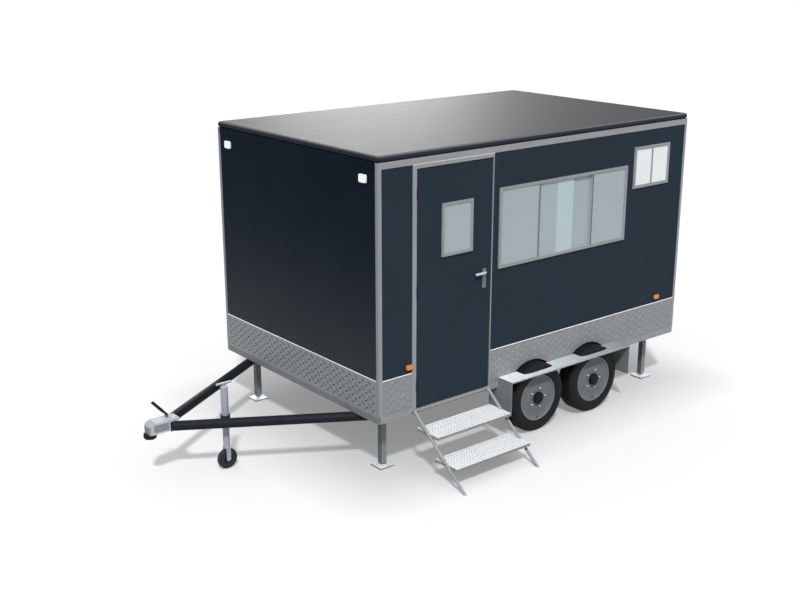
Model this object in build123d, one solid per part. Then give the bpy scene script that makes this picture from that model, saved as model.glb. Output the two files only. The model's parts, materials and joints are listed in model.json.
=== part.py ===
from build123d import *
import math
import os

# A towable site cabin on a four-wheel chassis. All lengths are millimetres.
# X runs from the drawbar end to the rear, Y from the door side to the far side, Z up.
# While it is built, x is zero at the front face, y on the centreline and z on the ground.

# Cabin shell
cabin_length = 3658.0
cabin_width = 2310.0
wall_thickness = 40.0
wall_height = 2051.0
skirt_lift = 15.0
skirt_height = 304.0
skirt_thickness = 5.0
corner_post_leg = 34.0
corner_post_chamfer = 6.0
trim_height = 51.0
roof_thickness = 50.0
roof_edge_share = 0.45

# Chassis under the shell
chassis_over_axle = 168.0
rail_height = 40.0
rail_width = 80.0
rail_inset = 10.0
beam_width = 60.0
beam_from_arch = 88.0
tube_wall = 4.0
floor_thickness = 25.0

# Doorway, leaf and furniture
door_frame_start = 338.0
hinge_post_width = 42.0
lock_post_width = 10.0
door_head_height = 33.0
door_gap = 7.0
leaf_width = 788.0
leaf_recess = 2.0
leaf_back_gap = 5.0
sill_height = 20.0
sill_proud = 10.0
door_window_from_hinge = 248.0
door_window_from_top = 298.0
door_window_width = 326.0
door_window_height = 432.0
door_window_bar = 20.0
hinge_count = 3
hinge_height = 90.0
hinge_plate_depth = 28.0
hinge_plate_thickness = 2.5
hinge_knuckle_radius = 6.0
hinge_pin_radius = 3.5
hinge_end_margin = 190.0
handle_backset = 75.0
handle_plate_below_lever = 133.0
handle_plate_height = 164.0
handle_plate_width = 40.0
handle_plate_thickness = 8.0
lever_above_leaf_foot = 1018.0
lever_length = 116.0
lever_radius = 11.0
lever_stand_off = 30.0
lever_bend_share = 1.3
lever_end_round_share = 0.7

# Side windows
window_bar = 23.0
mullion_width = 13.0
window_proud = 14.0
glass_thickness = 6.0
glass_setback = 6.0
large_window_from_door = 68.0
large_window_below_trim = 295.0
large_window_height = 681.0
mullion_shares = (0.2925, 0.7105)
small_mullion_share = 0.5
slider_overlap = 200.0
track_spacing = 11.0
window_spacing = 90.0
small_window_width = 488.0
small_window_from_rear = 244.0
small_window_below_trim = 144.0
small_window_height = 376.0

# Marker lamps
marker_depth = 22.0
side_marker_length = 66.0
side_marker_height = 40.0
side_marker_from_front = 305.0
side_marker_from_rear = 297.0
side_marker_above_skirt = 58.0
end_marker_width = 84.0
end_marker_height = 64.0
end_marker_from_side = 178.0
end_marker_below_trim = 86.0
marker_corner_share = 0.3

# Wheels, arches and mudguards
tyre_radius = 312.0
tyre_width = 175.0
tyre_outset = 105.0
rim_radius = 208.0
front_axle_from_door = 504.0
tyre_gap = 95.0
stub_radius = 20.0
arch_clearance = 14.0
arch_thickness = 3.0
tread_groove_width = 9.0
tread_groove_depth = 8.0
tyre_crown_height = 53.0
guard_overhang = 398.0
guard_outset = 65.0
guard_depth = 283.0
guard_inboard = 110.0
guard_thickness = 3.0
guard_lip = 12.0
guard_slot_clearance = 12.0
axle_size = 60.0
axle_drop = 20.0
axle_lead = 150.0
arm_thickness = 25.0
arm_height = 56.0
arm_gap = 12.0

# Outline tables: shares of the tyre's section height and width, and of the rim's radius and tyre width
tyre_outline_shares = ((0.0, 0.10), (0.10, 0.03), (0.42, 0.0), (0.74, 0.025), (0.93, 0.08), (1.0, 0.16))
rim_face_shares = (
    (0.0, 0.03), (0.19, 0.03), (0.235, 0.06), (0.235, 0.10), (0.52, 0.10), (0.60, 0.125),
    (0.86, 0.125), (0.92, 0.09), (0.955, 0.08), (0.965, 0.05), (1.0, 0.05),
)
rim_back_shares = (
    (1.0, 0.95), (0.965, 0.95), (0.95, 0.16), (0.90, 0.16), (0.84, 0.19), (0.58, 0.19), (0.48, 0.16),
)
tread_groove_shares = (0.32, 0.5, 0.68)
hub_barrel_share = 0.28
hub_depth_share = 0.86
hub_cap_share = 0.10

# Drawbar, coupling and its lever
drawbar_radius = 40.0
drawbar_wall = 5.0
drawbar_length = 1240.0
drawbar_tuck = 95.0
drawbar_front_spread_share = 1.19
drawbar_from_side = 298.0
apex_plate_thickness = 12.0
head_length = 181.0
head_flange_length = 82.0
head_width = 115.0
head_height = 95.0
head_below_axis = 35.0
head_wall = 8.0
head_pocket_depth = 3.0
head_pocket_margin = 14.0
head_nose_round = 24.0
head_nose_drop_share = 0.30
head_slope_share = 0.32
cup_radius = 52.0
cup_height = 39.0
cup_overhang = 26.0
ball_socket_radius = 25.4
ball_socket_depth = 34.0
lever_pivot_from_nose = 190.0
coupling_lever_length = 185.0
coupling_lever_angle = 48.6
coupling_lever_width = 25.0
coupling_lever_thickness = 20.0
lever_tip_round_share = 0.33
lever_hub_radius = 12.0
lever_pin_radius = 6.0
lever_hub_clearance = 6.0
lug_thickness = 8.0

# Jockey wheel
jockey_behind_apex = 417.0
jockey_from_drawbar = 32.0
jockey_tube_radius = 30.0
jockey_tube_wall = 2.7
jockey_tube_below_axis = 55.0
jockey_tube_above_axis = 275.0
jockey_inner_above_axis = 60.0
jockey_wheel_radius = 87.0
jockey_wheel_width = 42.0
jockey_wheel_round_share = 0.3
jockey_pin_radius = 8.0
jockey_cheek_thickness = 5.0
jockey_crown_thickness = 12.0
jockey_cheek_width = 38.0
jockey_swivel_radius = 10.0
jockey_swivel_height = 60.0
jockey_handle_length = 140.0
jockey_handle_radius = 10.0
jockey_handle_round_share = 0.5
jockey_handle_rise = 30.0
clamp_wall = 10.0
clamp_height = 60.0
clamp_width = 56.0

# Corner legs
leg_size = 50.0
leg_from_end = 190.0
leg_wall = 4.0
leg_top_clearance = 6.6
leg_pin_radius = 8.0
leg_cheek_thickness = 6.0
leg_cheek_length = 60.0
leg_cheek_overlap = 16.0
leg_side_gap = 1.0
foot_size = 136.0
foot_thickness = 12.0
foot_stem_radius = 12.0
foot_stem_length = 22.0

# Entrance steps
stringer_radius = 13.0
stringer_wall = 2.5
stringer_below_sill = 3.0
stringer_reach = 629.0
stringer_spacing = 808.0
steps_ahead_of_leaf = 15.0
tread_depth = 262.0
tread_thickness = 25.0
tread_sheet = 3.0
tread_setback = 23.0
tread_shares = (0.284, 0.652)

# Fits
running_gap = 0.3
side_gap = 5.0
cut_overrun = 20.0

# Levels worked out from the ground up
rail_bottom = tyre_radius + chassis_over_axle
rail_top = rail_bottom + rail_height
floor_top = rail_top + floor_thickness
skirt_bottom = rail_top + skirt_lift
skirt_top = skirt_bottom + skirt_height
roof_underside = rail_top + wall_height
roof_top = roof_underside + roof_thickness
trim_bottom = roof_underside - trim_height
side_marker_level = skirt_top + side_marker_above_skirt
end_marker_level = trim_bottom - end_marker_below_trim

# Planes of the shell, seen from above
half_width = cabin_width / 2
door_face = -half_width
wall_outer = door_face + skirt_thickness
wall_inner = wall_outer + wall_thickness
front_wall_outer = skirt_thickness
front_wall_inner = front_wall_outer + wall_thickness
rear_wall_outer = cabin_length - skirt_thickness
rear_wall_inner = rear_wall_outer - wall_thickness

# Doorway and leaf
leaf_start = door_frame_start + hinge_post_width + door_gap
leaf_end = leaf_start + leaf_width
lock_post_start = leaf_end + door_gap
door_frame_end = lock_post_start + lock_post_width
door_head_bottom = trim_bottom - door_head_height
leaf_bottom = rail_top + door_gap
leaf_top = door_head_bottom - door_gap
leaf_face = door_face + leaf_recess
leaf_back = wall_inner - leaf_back_gap
hinge_axis_x = leaf_start - door_gap / 2
hinge_axis_y = door_face - hinge_knuckle_radius
handle_x = leaf_end - handle_backset
lever_height = leaf_bottom + lever_above_leaf_foot
handle_plate_bottom = lever_height - handle_plate_below_lever
door_window_start = leaf_start + door_window_from_hinge
door_window_bottom = leaf_top - door_window_from_top - door_window_height

# Side windows
small_window_start = cabin_length - small_window_from_rear - small_window_width
small_window_bottom = trim_bottom - small_window_below_trim - small_window_height
large_window_start = door_frame_end + large_window_from_door
large_window_width = small_window_start - window_spacing - large_window_start
large_window_bottom = trim_bottom - large_window_below_trim - large_window_height

# Wheels, arches and mudguards
axle_spacing = tyre_radius * 2 + tyre_gap
front_axle_x = door_frame_end + front_axle_from_door
wheel_x = (front_axle_x, front_axle_x + axle_spacing)
tyre_face = door_face - tyre_outset
tyre_back = tyre_face + tyre_width
arch_inner_radius = tyre_radius + arch_clearance
arch_outer_radius = arch_inner_radius + arch_thickness
arch_back = tyre_back + arch_clearance + arch_thickness
beam_offset = -arch_back - beam_from_arch - beam_width / 2
guard_start = wheel_x[0] - guard_overhang
guard_end = wheel_x[1] + guard_overhang
guard_face = tyre_face - guard_outset
guard_top = tyre_radius * 2 - tyre_crown_height
guard_bottom = guard_top - guard_depth

# Drawbar and coupling
drawbar_front_x = -drawbar_length
drawbar_rear_x = drawbar_tuck
drawbar_front_spread = drawbar_radius * drawbar_front_spread_share
drawbar_rear_spread = half_width - drawbar_from_side
drawbar_slope = (drawbar_rear_spread - drawbar_front_spread) / (drawbar_rear_x - drawbar_front_x)
drawbar_turn = math.atan(drawbar_slope)
drawbar_level = rail_bottom - drawbar_radius
apex_plate_half_width = drawbar_front_spread + drawbar_radius / math.cos(drawbar_turn)
head_back_x = drawbar_front_x - apex_plate_thickness
nose_x = head_back_x - head_length
head_bottom = drawbar_level - head_below_axis
head_top = head_bottom + head_height
cup_x = nose_x - cup_overhang + cup_radius
cup_bottom = head_bottom - cup_height
lever_pivot_x = nose_x + lever_pivot_from_nose
lever_pivot_z = head_top + lever_hub_radius + lever_hub_clearance

# Jockey wheel
jockey_x = drawbar_front_x + jockey_behind_apex
jockey_reach = drawbar_radius + jockey_from_drawbar + jockey_tube_radius
jockey_y = jockey_reach / math.cos(drawbar_turn) - drawbar_front_spread - drawbar_slope * jockey_behind_apex
jockey_tube_bottom = drawbar_level - jockey_tube_below_axis
jockey_tube_top = drawbar_level + jockey_tube_above_axis
jockey_inner_top = drawbar_level + jockey_inner_above_axis
fork_top = jockey_wheel_radius * 2 + side_gap + jockey_crown_thickness
jockey_travel = jockey_tube_bottom - side_gap - fork_top

# Corner legs
leg_pivot_z = rail_bottom - math.hypot(leg_size / 2, leg_size / 2) - leg_top_clearance
leg_top = leg_pivot_z + leg_size / 2
leg_bottom = foot_thickness + foot_stem_length
leg_x = (leg_from_end, cabin_length - leg_from_end)

# Steps
steps_middle = (leaf_start + leaf_end) / 2 - steps_ahead_of_leaf
stringer_x = (steps_middle - stringer_spacing / 2, steps_middle + stringer_spacing / 2)
stringer_face = door_face - sill_proud
stringer_top = rail_top - stringer_below_sill
stringer_slope = math.atan2(stringer_top, stringer_reach)


def block(x_limits, y_limits, z_limits):
    """A box between the given limits."""
    limits = (x_limits, y_limits, z_limits)
    size = [high - low for low, high in limits]
    middle = [(high + low) / 2 for low, high in limits]
    return Pos(*middle) * Box(*size)


def rod_y(radius, x, y_limits, z):
    """A round bar along Y."""
    low, high = y_limits
    return Pos(x, (low + high) / 2, z) * Rot(90, 0, 0) * Cylinder(radius, high - low)


def rod_z(radius, x, y, z_limits):
    """A round bar along Z."""
    low, high = z_limits
    return Pos(x, y, (low + high) / 2) * Cylinder(radius, high - low)


def far(shape):
    """The same shape on the far side of the centreline."""
    return mirror(shape, about=Plane.XZ)


def rear(shape):
    """The same shape at the other end of the cabin."""
    return mirror(shape, about=Plane.YZ.offset(cabin_length / 2))


def wheel_arch_cuts(radius, y_limits):
    """Round cutters, one above each wheel of the door side."""
    return [rod_y(radius, x, y_limits, tyre_radius) for x in wheel_x]


def framed_hole(start, width, bottom, height, y_limits):
    """The block that a window takes out of its wall."""
    return block((start, start + width), y_limits, (bottom, bottom + height))


def lights(start, width, bar, mullions):
    """Clear widths between a window's bars and its mullions at the given shares of its width."""
    half = mullion_width / 2
    middles = [start + share * width for share in mullions]
    lefts = [start + bar] + [middle + half for middle in middles]
    rights = [middle - half for middle in middles] + [start + width - bar]
    return list(zip(lefts, rights))


def window_frame(start, width, bottom, height, bar, y_limits, mullions):
    """A rectangular frame with upright mullions at the given shares of its width."""
    top = bottom + height
    frame = block((start, start + width), y_limits, (bottom, top))
    deep = (y_limits[0] - cut_overrun, y_limits[1] + cut_overrun)
    for light in lights(start, width, bar, mullions):
        frame -= block(light, deep, (bottom + bar, top - bar))
    return frame


def pane(x_limits, middle_y, bottom, height, bar):
    """One sheet of glass between the bars of a window."""
    y_limits = (middle_y - glass_thickness / 2, middle_y + glass_thickness / 2)
    return block(x_limits, y_limits, (bottom + bar, bottom + height - bar))


def make_floor():
    deck = block((front_wall_inner, rear_wall_inner), (wall_inner, -wall_inner), (rail_top, floor_top))
    reach = (wall_inner - cut_overrun, arch_back + running_gap)
    for cutter in wheel_arch_cuts(arch_outer_radius + running_gap, reach):
        deck = deck - cutter - far(cutter)
    return deck


def make_front_wall():
    return block((front_wall_outer, front_wall_inner), (wall_inner, -wall_inner), (rail_top, roof_underside))


def with_arches(panel):
    """Cut the wheel arches out of a door-side panel."""
    deep = (door_face - cut_overrun, wall_inner + cut_overrun)
    for cutter in wheel_arch_cuts(arch_outer_radius + running_gap, deep):
        panel -= cutter
    return panel


def make_far_wall():
    panel = block((front_wall_outer, rear_wall_outer), (wall_outer, wall_inner), (rail_top, roof_underside))
    return far(with_arches(panel))


def make_door_wall_front():
    return block((front_wall_outer, door_frame_start), (wall_outer, wall_inner), (rail_top, roof_underside))


def make_door_wall_header():
    return block((door_frame_start, door_frame_end), (wall_outer, wall_inner), (trim_bottom, roof_underside))


def make_door_wall_rear():
    panel = block((door_frame_end, rear_wall_outer), (wall_outer, wall_inner), (rail_top, roof_underside))
    deep = (wall_outer - cut_overrun, wall_inner + cut_overrun)
    panel -= framed_hole(
        large_window_start, large_window_width, large_window_bottom, large_window_height, deep
    )
    panel -= framed_hole(
        small_window_start, small_window_width, small_window_bottom, small_window_height, deep
    )
    return with_arches(panel)


def make_roof():
    slab = block((0, cabin_length), (door_face, -door_face), (roof_underside, roof_top))
    upright = slab.edges().filter_by(Axis.Z)
    slab = fillet(upright, roof_thickness * roof_edge_share)
    rims = slab.edges().filter_by(Plane.XY)
    return fillet(rims, roof_thickness * roof_edge_share)


def make_corner_posts():
    levels = (skirt_bottom, roof_underside)
    outer = block((0, corner_post_leg), (door_face, door_face + corner_post_leg), levels)
    inner = block(
        (skirt_thickness, corner_post_leg + cut_overrun),
        (wall_outer, wall_outer + corner_post_leg + cut_overrun),
        (skirt_bottom - cut_overrun, roof_underside + cut_overrun),
    )
    corner = outer.edges().filter_by(Axis.Z).sort_by(Axis((0, 0, 0), (1, 1, 0)))[0]
    post = chamfer(corner, corner_post_chamfer) - inner
    return [post, far(post), rear(post), far(rear(post))]


def make_side_top_trims():
    reach = (corner_post_leg, cabin_length - corner_post_leg)
    trim = block(reach, (door_face, wall_outer), (trim_bottom, roof_underside))
    return [trim, far(trim)]


def make_end_top_trims():
    reach = half_width - corner_post_leg
    trim = block((0, front_wall_outer), (-reach, reach), (trim_bottom, roof_underside))
    return [trim, rear(trim)]


def make_skirt_plates():
    levels = (skirt_bottom, skirt_top)
    depth = (door_face, wall_outer)
    rear_end = cabin_length - corner_post_leg
    reach = half_width - corner_post_leg
    before_door = block((corner_post_leg, door_frame_start), depth, levels)
    behind_door = with_arches(block((door_frame_end, rear_end), depth, levels))
    far_side = far(with_arches(block((corner_post_leg, rear_end), depth, levels)))
    front = block((0, front_wall_outer), (-reach, reach), levels)
    return [before_door, behind_door, far_side, front, rear(front)]


def square_tube(x_limits, y_limits, z_limits, wall, along):
    """A rectangular tube, open at both ends along the given axis (0 for X, 1 for Y, 2 for Z)."""
    limits = [x_limits, y_limits, z_limits]
    inner = [(low + wall, high - wall) for low, high in limits]
    inner[along] = (limits[along][0] - cut_overrun, limits[along][1] + cut_overrun)
    return block(*limits) - block(*inner)


def make_chassis_rails():
    """Side rails before and behind the wheels, and the two long inner beams."""
    levels = (rail_bottom, rail_top)
    rail_y = (door_face + rail_inset, door_face + rail_inset + rail_width)
    first = rail_inset + rail_width
    last = cabin_length - rail_inset - rail_width
    front_rail = square_tube((first, wheel_x[0] - arch_outer_radius), rail_y, levels, tube_wall, 0)
    rear_rail = square_tube((wheel_x[1] + arch_outer_radius, last), rail_y, levels, tube_wall, 0)
    beam_y = (-beam_offset - beam_width / 2, -beam_offset + beam_width / 2)
    beam = square_tube((first, last), beam_y, levels, tube_wall, 0)
    return [front_rail, rear_rail, beam, far(front_rail), far(rear_rail), far(beam)]


def make_end_rails():
    reach = half_width - rail_inset
    rail = square_tube(
        (rail_inset, rail_inset + rail_width), (-reach, reach), (rail_bottom, rail_top), tube_wall, 1
    )
    return [rail, rear(rail)]


def make_door_jambs():
    depth = (door_face, wall_inner)
    levels = (rail_top, door_head_bottom)
    hinge_post = block((door_frame_start, door_frame_start + hinge_post_width), depth, levels)
    lock_post = block((lock_post_start, door_frame_end), depth, levels)
    return [hinge_post, lock_post]


def make_door_head():
    return block((door_frame_start, door_frame_end), (door_face, wall_inner), (door_head_bottom, trim_bottom))


def make_door_sill():
    depth = (stringer_face, door_face + rail_inset)
    return block((door_frame_start, door_frame_end), depth, (rail_top - sill_height, rail_top))


def make_door_leaf():
    leaf = block((leaf_start, leaf_end), (leaf_face, leaf_back), (leaf_bottom, leaf_top))
    deep = (leaf_face - cut_overrun, leaf_back + cut_overrun)
    hole = framed_hole(door_window_start, door_window_width, door_window_bottom, door_window_height, deep)
    return leaf - hole


def make_door_window_frame():
    depth = (leaf_face - window_proud, leaf_back)
    return window_frame(
        door_window_start, door_window_width, door_window_bottom, door_window_height, door_window_bar,
        depth, (),
    )


def make_door_window_glass():
    light = lights(door_window_start, door_window_width, door_window_bar, ())[0]
    middle = leaf_face - window_proud + glass_setback + glass_thickness / 2
    return pane(light, middle, door_window_bottom, door_window_height, door_window_bar)


def hinge_levels():
    """Middle heights of the hinges, evenly spread over the leaf."""
    low = leaf_bottom + hinge_end_margin
    high = leaf_top - hinge_end_margin
    step = (high - low) / (hinge_count - 1)
    return [low + index * step for index in range(hinge_count)]


def hinge_half(plate_x, knuckle_z, plate_z):
    """A plate in the gap beside the leaf, joined to its knuckle over the knuckle's own height."""
    inner = door_face + hinge_plate_depth
    half = block(plate_x, (door_face + running_gap, inner), plate_z)
    half += block(plate_x, (hinge_axis_y, inner), knuckle_z)
    return half + rod_z(hinge_knuckle_radius, hinge_axis_x, hinge_axis_y, knuckle_z)


def make_hinge_fixed_halves():
    """Plates on the jamb with the lower knuckle and the pin."""
    gap_start = leaf_start - door_gap
    plate_x = (gap_start, gap_start + hinge_plate_thickness)
    halves = []
    for level in hinge_levels():
        low = level - hinge_height / 2
        high = level + hinge_height / 2
        half = hinge_half(plate_x, (low, level - running_gap), (low, high))
        halves.append(half + rod_z(hinge_pin_radius, hinge_axis_x, hinge_axis_y, (low, high)))
    return halves


def make_hinge_moving_halves():
    """Plates on the leaf with the upper knuckle, which turns on the pin."""
    plate_x = (leaf_start - hinge_plate_thickness, leaf_start)
    halves = []
    for level in hinge_levels():
        low = level - hinge_height / 2
        high = level + hinge_height / 2
        half = hinge_half(plate_x, (level + running_gap, high), (low, high))
        bore = rod_z(hinge_pin_radius + running_gap, hinge_axis_x, hinge_axis_y, (low, high + cut_overrun))
        halves.append(half - bore)
    return halves


def make_door_handle_plate():
    half = handle_plate_width / 2
    plate = block(
        (handle_x - half, handle_x + half),
        (leaf_face - handle_plate_thickness, leaf_face),
        (handle_plate_bottom, handle_plate_bottom + handle_plate_height),
    )
    plate = fillet(plate.edges().filter_by(Axis.Y), half * marker_corner_share)
    deep = (leaf_face - handle_plate_thickness - cut_overrun, leaf_face + cut_overrun)
    return plate - rod_y(lever_radius + running_gap, handle_x, deep, lever_height)


def make_door_lever():
    """A round bar out of the plate, bent into a grip that points to the hinges."""
    foot_y = leaf_face - running_gap
    grip_y = leaf_face - lever_stand_off
    bend = lever_radius * lever_bend_share
    middle = (handle_x - bend, grip_y + bend)
    straight = Line((handle_x, foot_y), (handle_x, middle[1]))
    curve = CenterArc(middle, bend, 0, -90)
    grip = Line((middle[0], grip_y), (handle_x - lever_length, grip_y))
    section = Plane(origin=(handle_x, foot_y, 0), z_dir=(0, -1, 0)) * Circle(lever_radius)
    lever = sweep(section, Wire([straight, curve, grip]))
    tip = lever.faces().sort_by(Axis.X)[0].edges()
    return Pos(0, 0, lever_height) * fillet(tip, lever_radius * lever_end_round_share)


def make_window_frames():
    depth = (wall_outer - window_proud, wall_inner)
    large = window_frame(
        large_window_start, large_window_width, large_window_bottom, large_window_height, window_bar, depth,
        mullion_shares,
    )
    small = window_frame(
        small_window_start, small_window_width, small_window_bottom, small_window_height, window_bar, depth,
        (small_mullion_share,),
    )
    return [large, small]


def make_window_glass():
    """Fixed lights, and two sliders behind them that overlap in the middle of the large window."""
    fixed = wall_outer - window_proud + glass_setback + glass_thickness / 2
    front_track = fixed + track_spacing
    back_track = front_track + track_spacing
    large = (large_window_bottom, large_window_height, window_bar)
    small = (small_window_bottom, small_window_height, window_bar)
    left, middle, right = lights(large_window_start, large_window_width, window_bar, mullion_shares)
    slider = (middle[1] - middle[0] + slider_overlap) / 2
    panes = [
        pane(left, fixed, *large),
        pane((middle[0], middle[0] + slider), front_track, *large),
        pane((middle[1] - slider, middle[1]), back_track, *large),
        pane(right, fixed, *large),
    ]
    for light in lights(small_window_start, small_window_width, window_bar, (small_mullion_share,)):
        panes.append(pane(light, fixed, *small))
    return panes


def rounded_lens(shape, front_face_axis):
    """Round a lamp's corners and front rim."""
    size = shape.bounding_box().size
    radius = min(side_marker_height, end_marker_height) * marker_corner_share
    shape = fillet(shape.edges().filter_by(front_face_axis), radius)
    rim = shape.faces().sort_by(front_face_axis)[0].edges()
    return fillet(rim, min(radius, size.X, size.Y) * marker_corner_share)


def make_side_markers():
    lamps = []
    for x in (side_marker_from_front, cabin_length - side_marker_from_rear):
        lamp = block(
            (x - side_marker_length / 2, x + side_marker_length / 2),
            (wall_outer - marker_depth, wall_outer),
            (side_marker_level - side_marker_height / 2, side_marker_level + side_marker_height / 2),
        )
        lamp = rounded_lens(lamp, Axis.Y)
        lamps += [lamp, far(lamp)]
    return lamps


def make_front_markers():
    y = half_width - end_marker_from_side
    lamp = block(
        (front_wall_outer - marker_depth, front_wall_outer),
        (-y - end_marker_width / 2, -y + end_marker_width / 2),
        (end_marker_level - end_marker_height / 2, end_marker_level + end_marker_height / 2),
    )
    lamp = rounded_lens(lamp, Axis.X)
    return [lamp, far(lamp)]


def make_rear_markers():
    return [rear(lamp) for lamp in make_front_markers()]


def make_mudguards():
    """A folded sheet over each pair of wheels, slotted for the tyres' crowns."""
    outer = guard_face
    inboard = door_face + guard_inboard
    levels = (guard_top - guard_thickness, guard_top)
    guard = block((guard_start, guard_end), (outer, door_face), levels)
    lip_y = (outer, outer + guard_thickness)
    guard += block((guard_start, guard_end), lip_y, (guard_top - guard_lip, guard_top))
    rise = guard_top - tyre_radius
    half_slot = math.sqrt(tyre_radius ** 2 - rise ** 2) + guard_slot_clearance
    for x in wheel_x:
        guard -= block(
            (x - half_slot, x + half_slot),
            (tyre_face - guard_slot_clearance, door_face + cut_overrun),
            (guard_top - guard_lip, guard_top + cut_overrun),
        )
    for x in (guard_start, guard_end - guard_thickness):
        ends = (x, x + guard_thickness)
        guard += block(ends, (outer, door_face), (guard_bottom, guard_top))
        guard += block(ends, (outer, inboard), (guard_bottom, rail_bottom))
    return [guard, far(guard)]


def make_wheel_arches():
    """Round-topped boxes that close the cabin above the tyres."""
    tubs = []
    for x in wheel_x:
        tub = rod_y(arch_outer_radius, x, (door_face, arch_back), tyre_radius)
        tub -= rod_y(arch_inner_radius, x, (door_face - cut_overrun, arch_back - arch_thickness), tyre_radius)
        below = (tyre_radius - arch_outer_radius - cut_overrun, rail_bottom)
        reach = (x - arch_outer_radius - cut_overrun, x + arch_outer_radius + cut_overrun)
        tub -= block(reach, (door_face - cut_overrun, arch_back + cut_overrun), below)
        tubs += [tub, far(tub)]
    return tubs


def make_axles():
    """A beam under the chassis, trailing arms and the stubs that carry the wheels."""
    axles = []
    beam_top = rail_bottom - axle_drop
    beam_z = beam_top - axle_size / 2
    arm_y = (tyre_back + arm_gap, tyre_back + arm_gap + arm_thickness)
    stub_end = tyre_face + tyre_width * hub_cap_share + running_gap
    for x in wheel_x:
        beam_x = x - axle_lead
        sides = (beam_x - axle_size / 2, beam_x + axle_size / 2)
        axle = block(sides, (arm_y[1], -arm_y[1]), (beam_z - axle_size / 2, beam_top))
        fall = beam_z - tyre_radius
        length = math.hypot(axle_lead, fall)
        tilt = math.degrees(math.atan2(fall, axle_lead))
        arm = Pos((x + beam_x) / 2, sum(arm_y) / 2, (beam_z + tyre_radius) / 2) * Rot(0, tilt, 0) \
            * Box(length, arm_thickness, arm_height)
        arm += rod_y(arm_height / 2, x, arm_y, tyre_radius)
        arm += rod_y(axle_size / 2, beam_x, arm_y, beam_z)
        arm += rod_y(stub_radius, x, (stub_end, arm_y[1]), tyre_radius)
        pad_y = (-beam_offset - beam_width / 2, -beam_offset + beam_width / 2)
        pad = block(sides, pad_y, (beam_top, rail_bottom))
        axles.append(axle + arm + far(arm) + pad + far(pad))
    return axles


def turned(points):
    """A solid of revolution about Y from (radius, y) points."""
    return revolve(make_face(Polyline(*points, close=True)), Axis.Y)


def make_tyre():
    """Tyre with rounded shoulders and tread grooves, its outer face at y zero."""
    height = tyre_radius - rim_radius
    outer_half = [(rim_radius + up * height, tyre_width * across) for up, across in tyre_outline_shares]
    inner_half = [(radius, tyre_width - y) for radius, y in reversed(outer_half)]
    tyre = turned(outer_half + inner_half)
    for share in tread_groove_shares:
        middle = tyre_width * share
        sides = (middle - tread_groove_width / 2, middle + tread_groove_width / 2)
        ring = rod_y(tyre_radius + cut_overrun, 0, sides, 0)
        ring -= rod_y(tyre_radius - tread_groove_depth, 0, sides, 0)
        tyre -= ring
    return tyre


def make_wheel_disc():
    """Pressed wheel with its hub, dished face and closed cap, its tyre's outer face at y zero."""
    face = [(rim_radius * r, tyre_width * y) for r, y in rim_face_shares]
    back = [(rim_radius * r, tyre_width * y) for r, y in rim_back_shares]
    barrel = rim_radius * hub_barrel_share
    bore = stub_radius + running_gap
    hub = [
        (barrel, tyre_width * rim_back_shares[-1][1]),
        (barrel, tyre_width * hub_depth_share),
        (bore, tyre_width * hub_depth_share),
        (bore, tyre_width * hub_cap_share),
        (0, tyre_width * hub_cap_share),
    ]
    return turned(face + back + hub)


def wheel_place(x):
    return Pos(x, tyre_face, tyre_radius)


def drawbar_rod(radius):
    """A round bar along the door-side drawbar, longer than the tube at both ends."""
    length = (drawbar_rear_x - drawbar_front_x) / math.cos(drawbar_turn) + 4 * drawbar_radius
    middle_x = (drawbar_front_x + drawbar_rear_x) / 2
    middle_y = -(drawbar_front_spread + drawbar_rear_spread) / 2
    middle = Pos(middle_x, middle_y, drawbar_level)
    return middle * Rot(0, 0, -math.degrees(drawbar_turn)) * Rot(0, 90, 0) * Cylinder(radius, length)


def make_drawbar_tubes():
    tube = drawbar_rod(drawbar_radius) - drawbar_rod(drawbar_radius - drawbar_wall)
    keep = block(
        (drawbar_front_x, drawbar_rear_x),
        (-half_width, 0),
        (drawbar_level - drawbar_radius, drawbar_level + drawbar_radius),
    )
    tube = tube & keep
    return [tube, far(tube)]


def make_drawbar_plate():
    """Plate with round ends that closes the front of both tubes."""
    outline = Pos(0, drawbar_level) * SlotOverall(apex_plate_half_width * 2, drawbar_radius * 2)
    return extrude(Plane.YZ.offset(head_back_x) * outline, amount=apex_plate_thickness)


def coupling_form(inset):
    """Housing with rounded upright edges at its nose and a sloping top; inset gives its hollow."""
    half = head_width / 2 - inset
    top = head_top - inset
    front = nose_x + inset
    form = block((front, head_back_x - inset), (-half, half), (head_bottom, top))
    nose_edges = form.edges().filter_by(Axis.Z).group_by(Axis.X)[0]
    form = fillet(nose_edges, head_nose_round - inset)
    drop = (head_top - head_bottom) * head_nose_drop_share
    slope_end = nose_x + head_length * head_slope_share
    wedge = make_face(Plane.XZ * Polyline(
        (front, top - drop), (slope_end, top), (slope_end, top + cut_overrun), (front, top + cut_overrun),
        close=True,
    ))
    return form - extrude(wedge, amount=half + cut_overrun, both=True)


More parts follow.
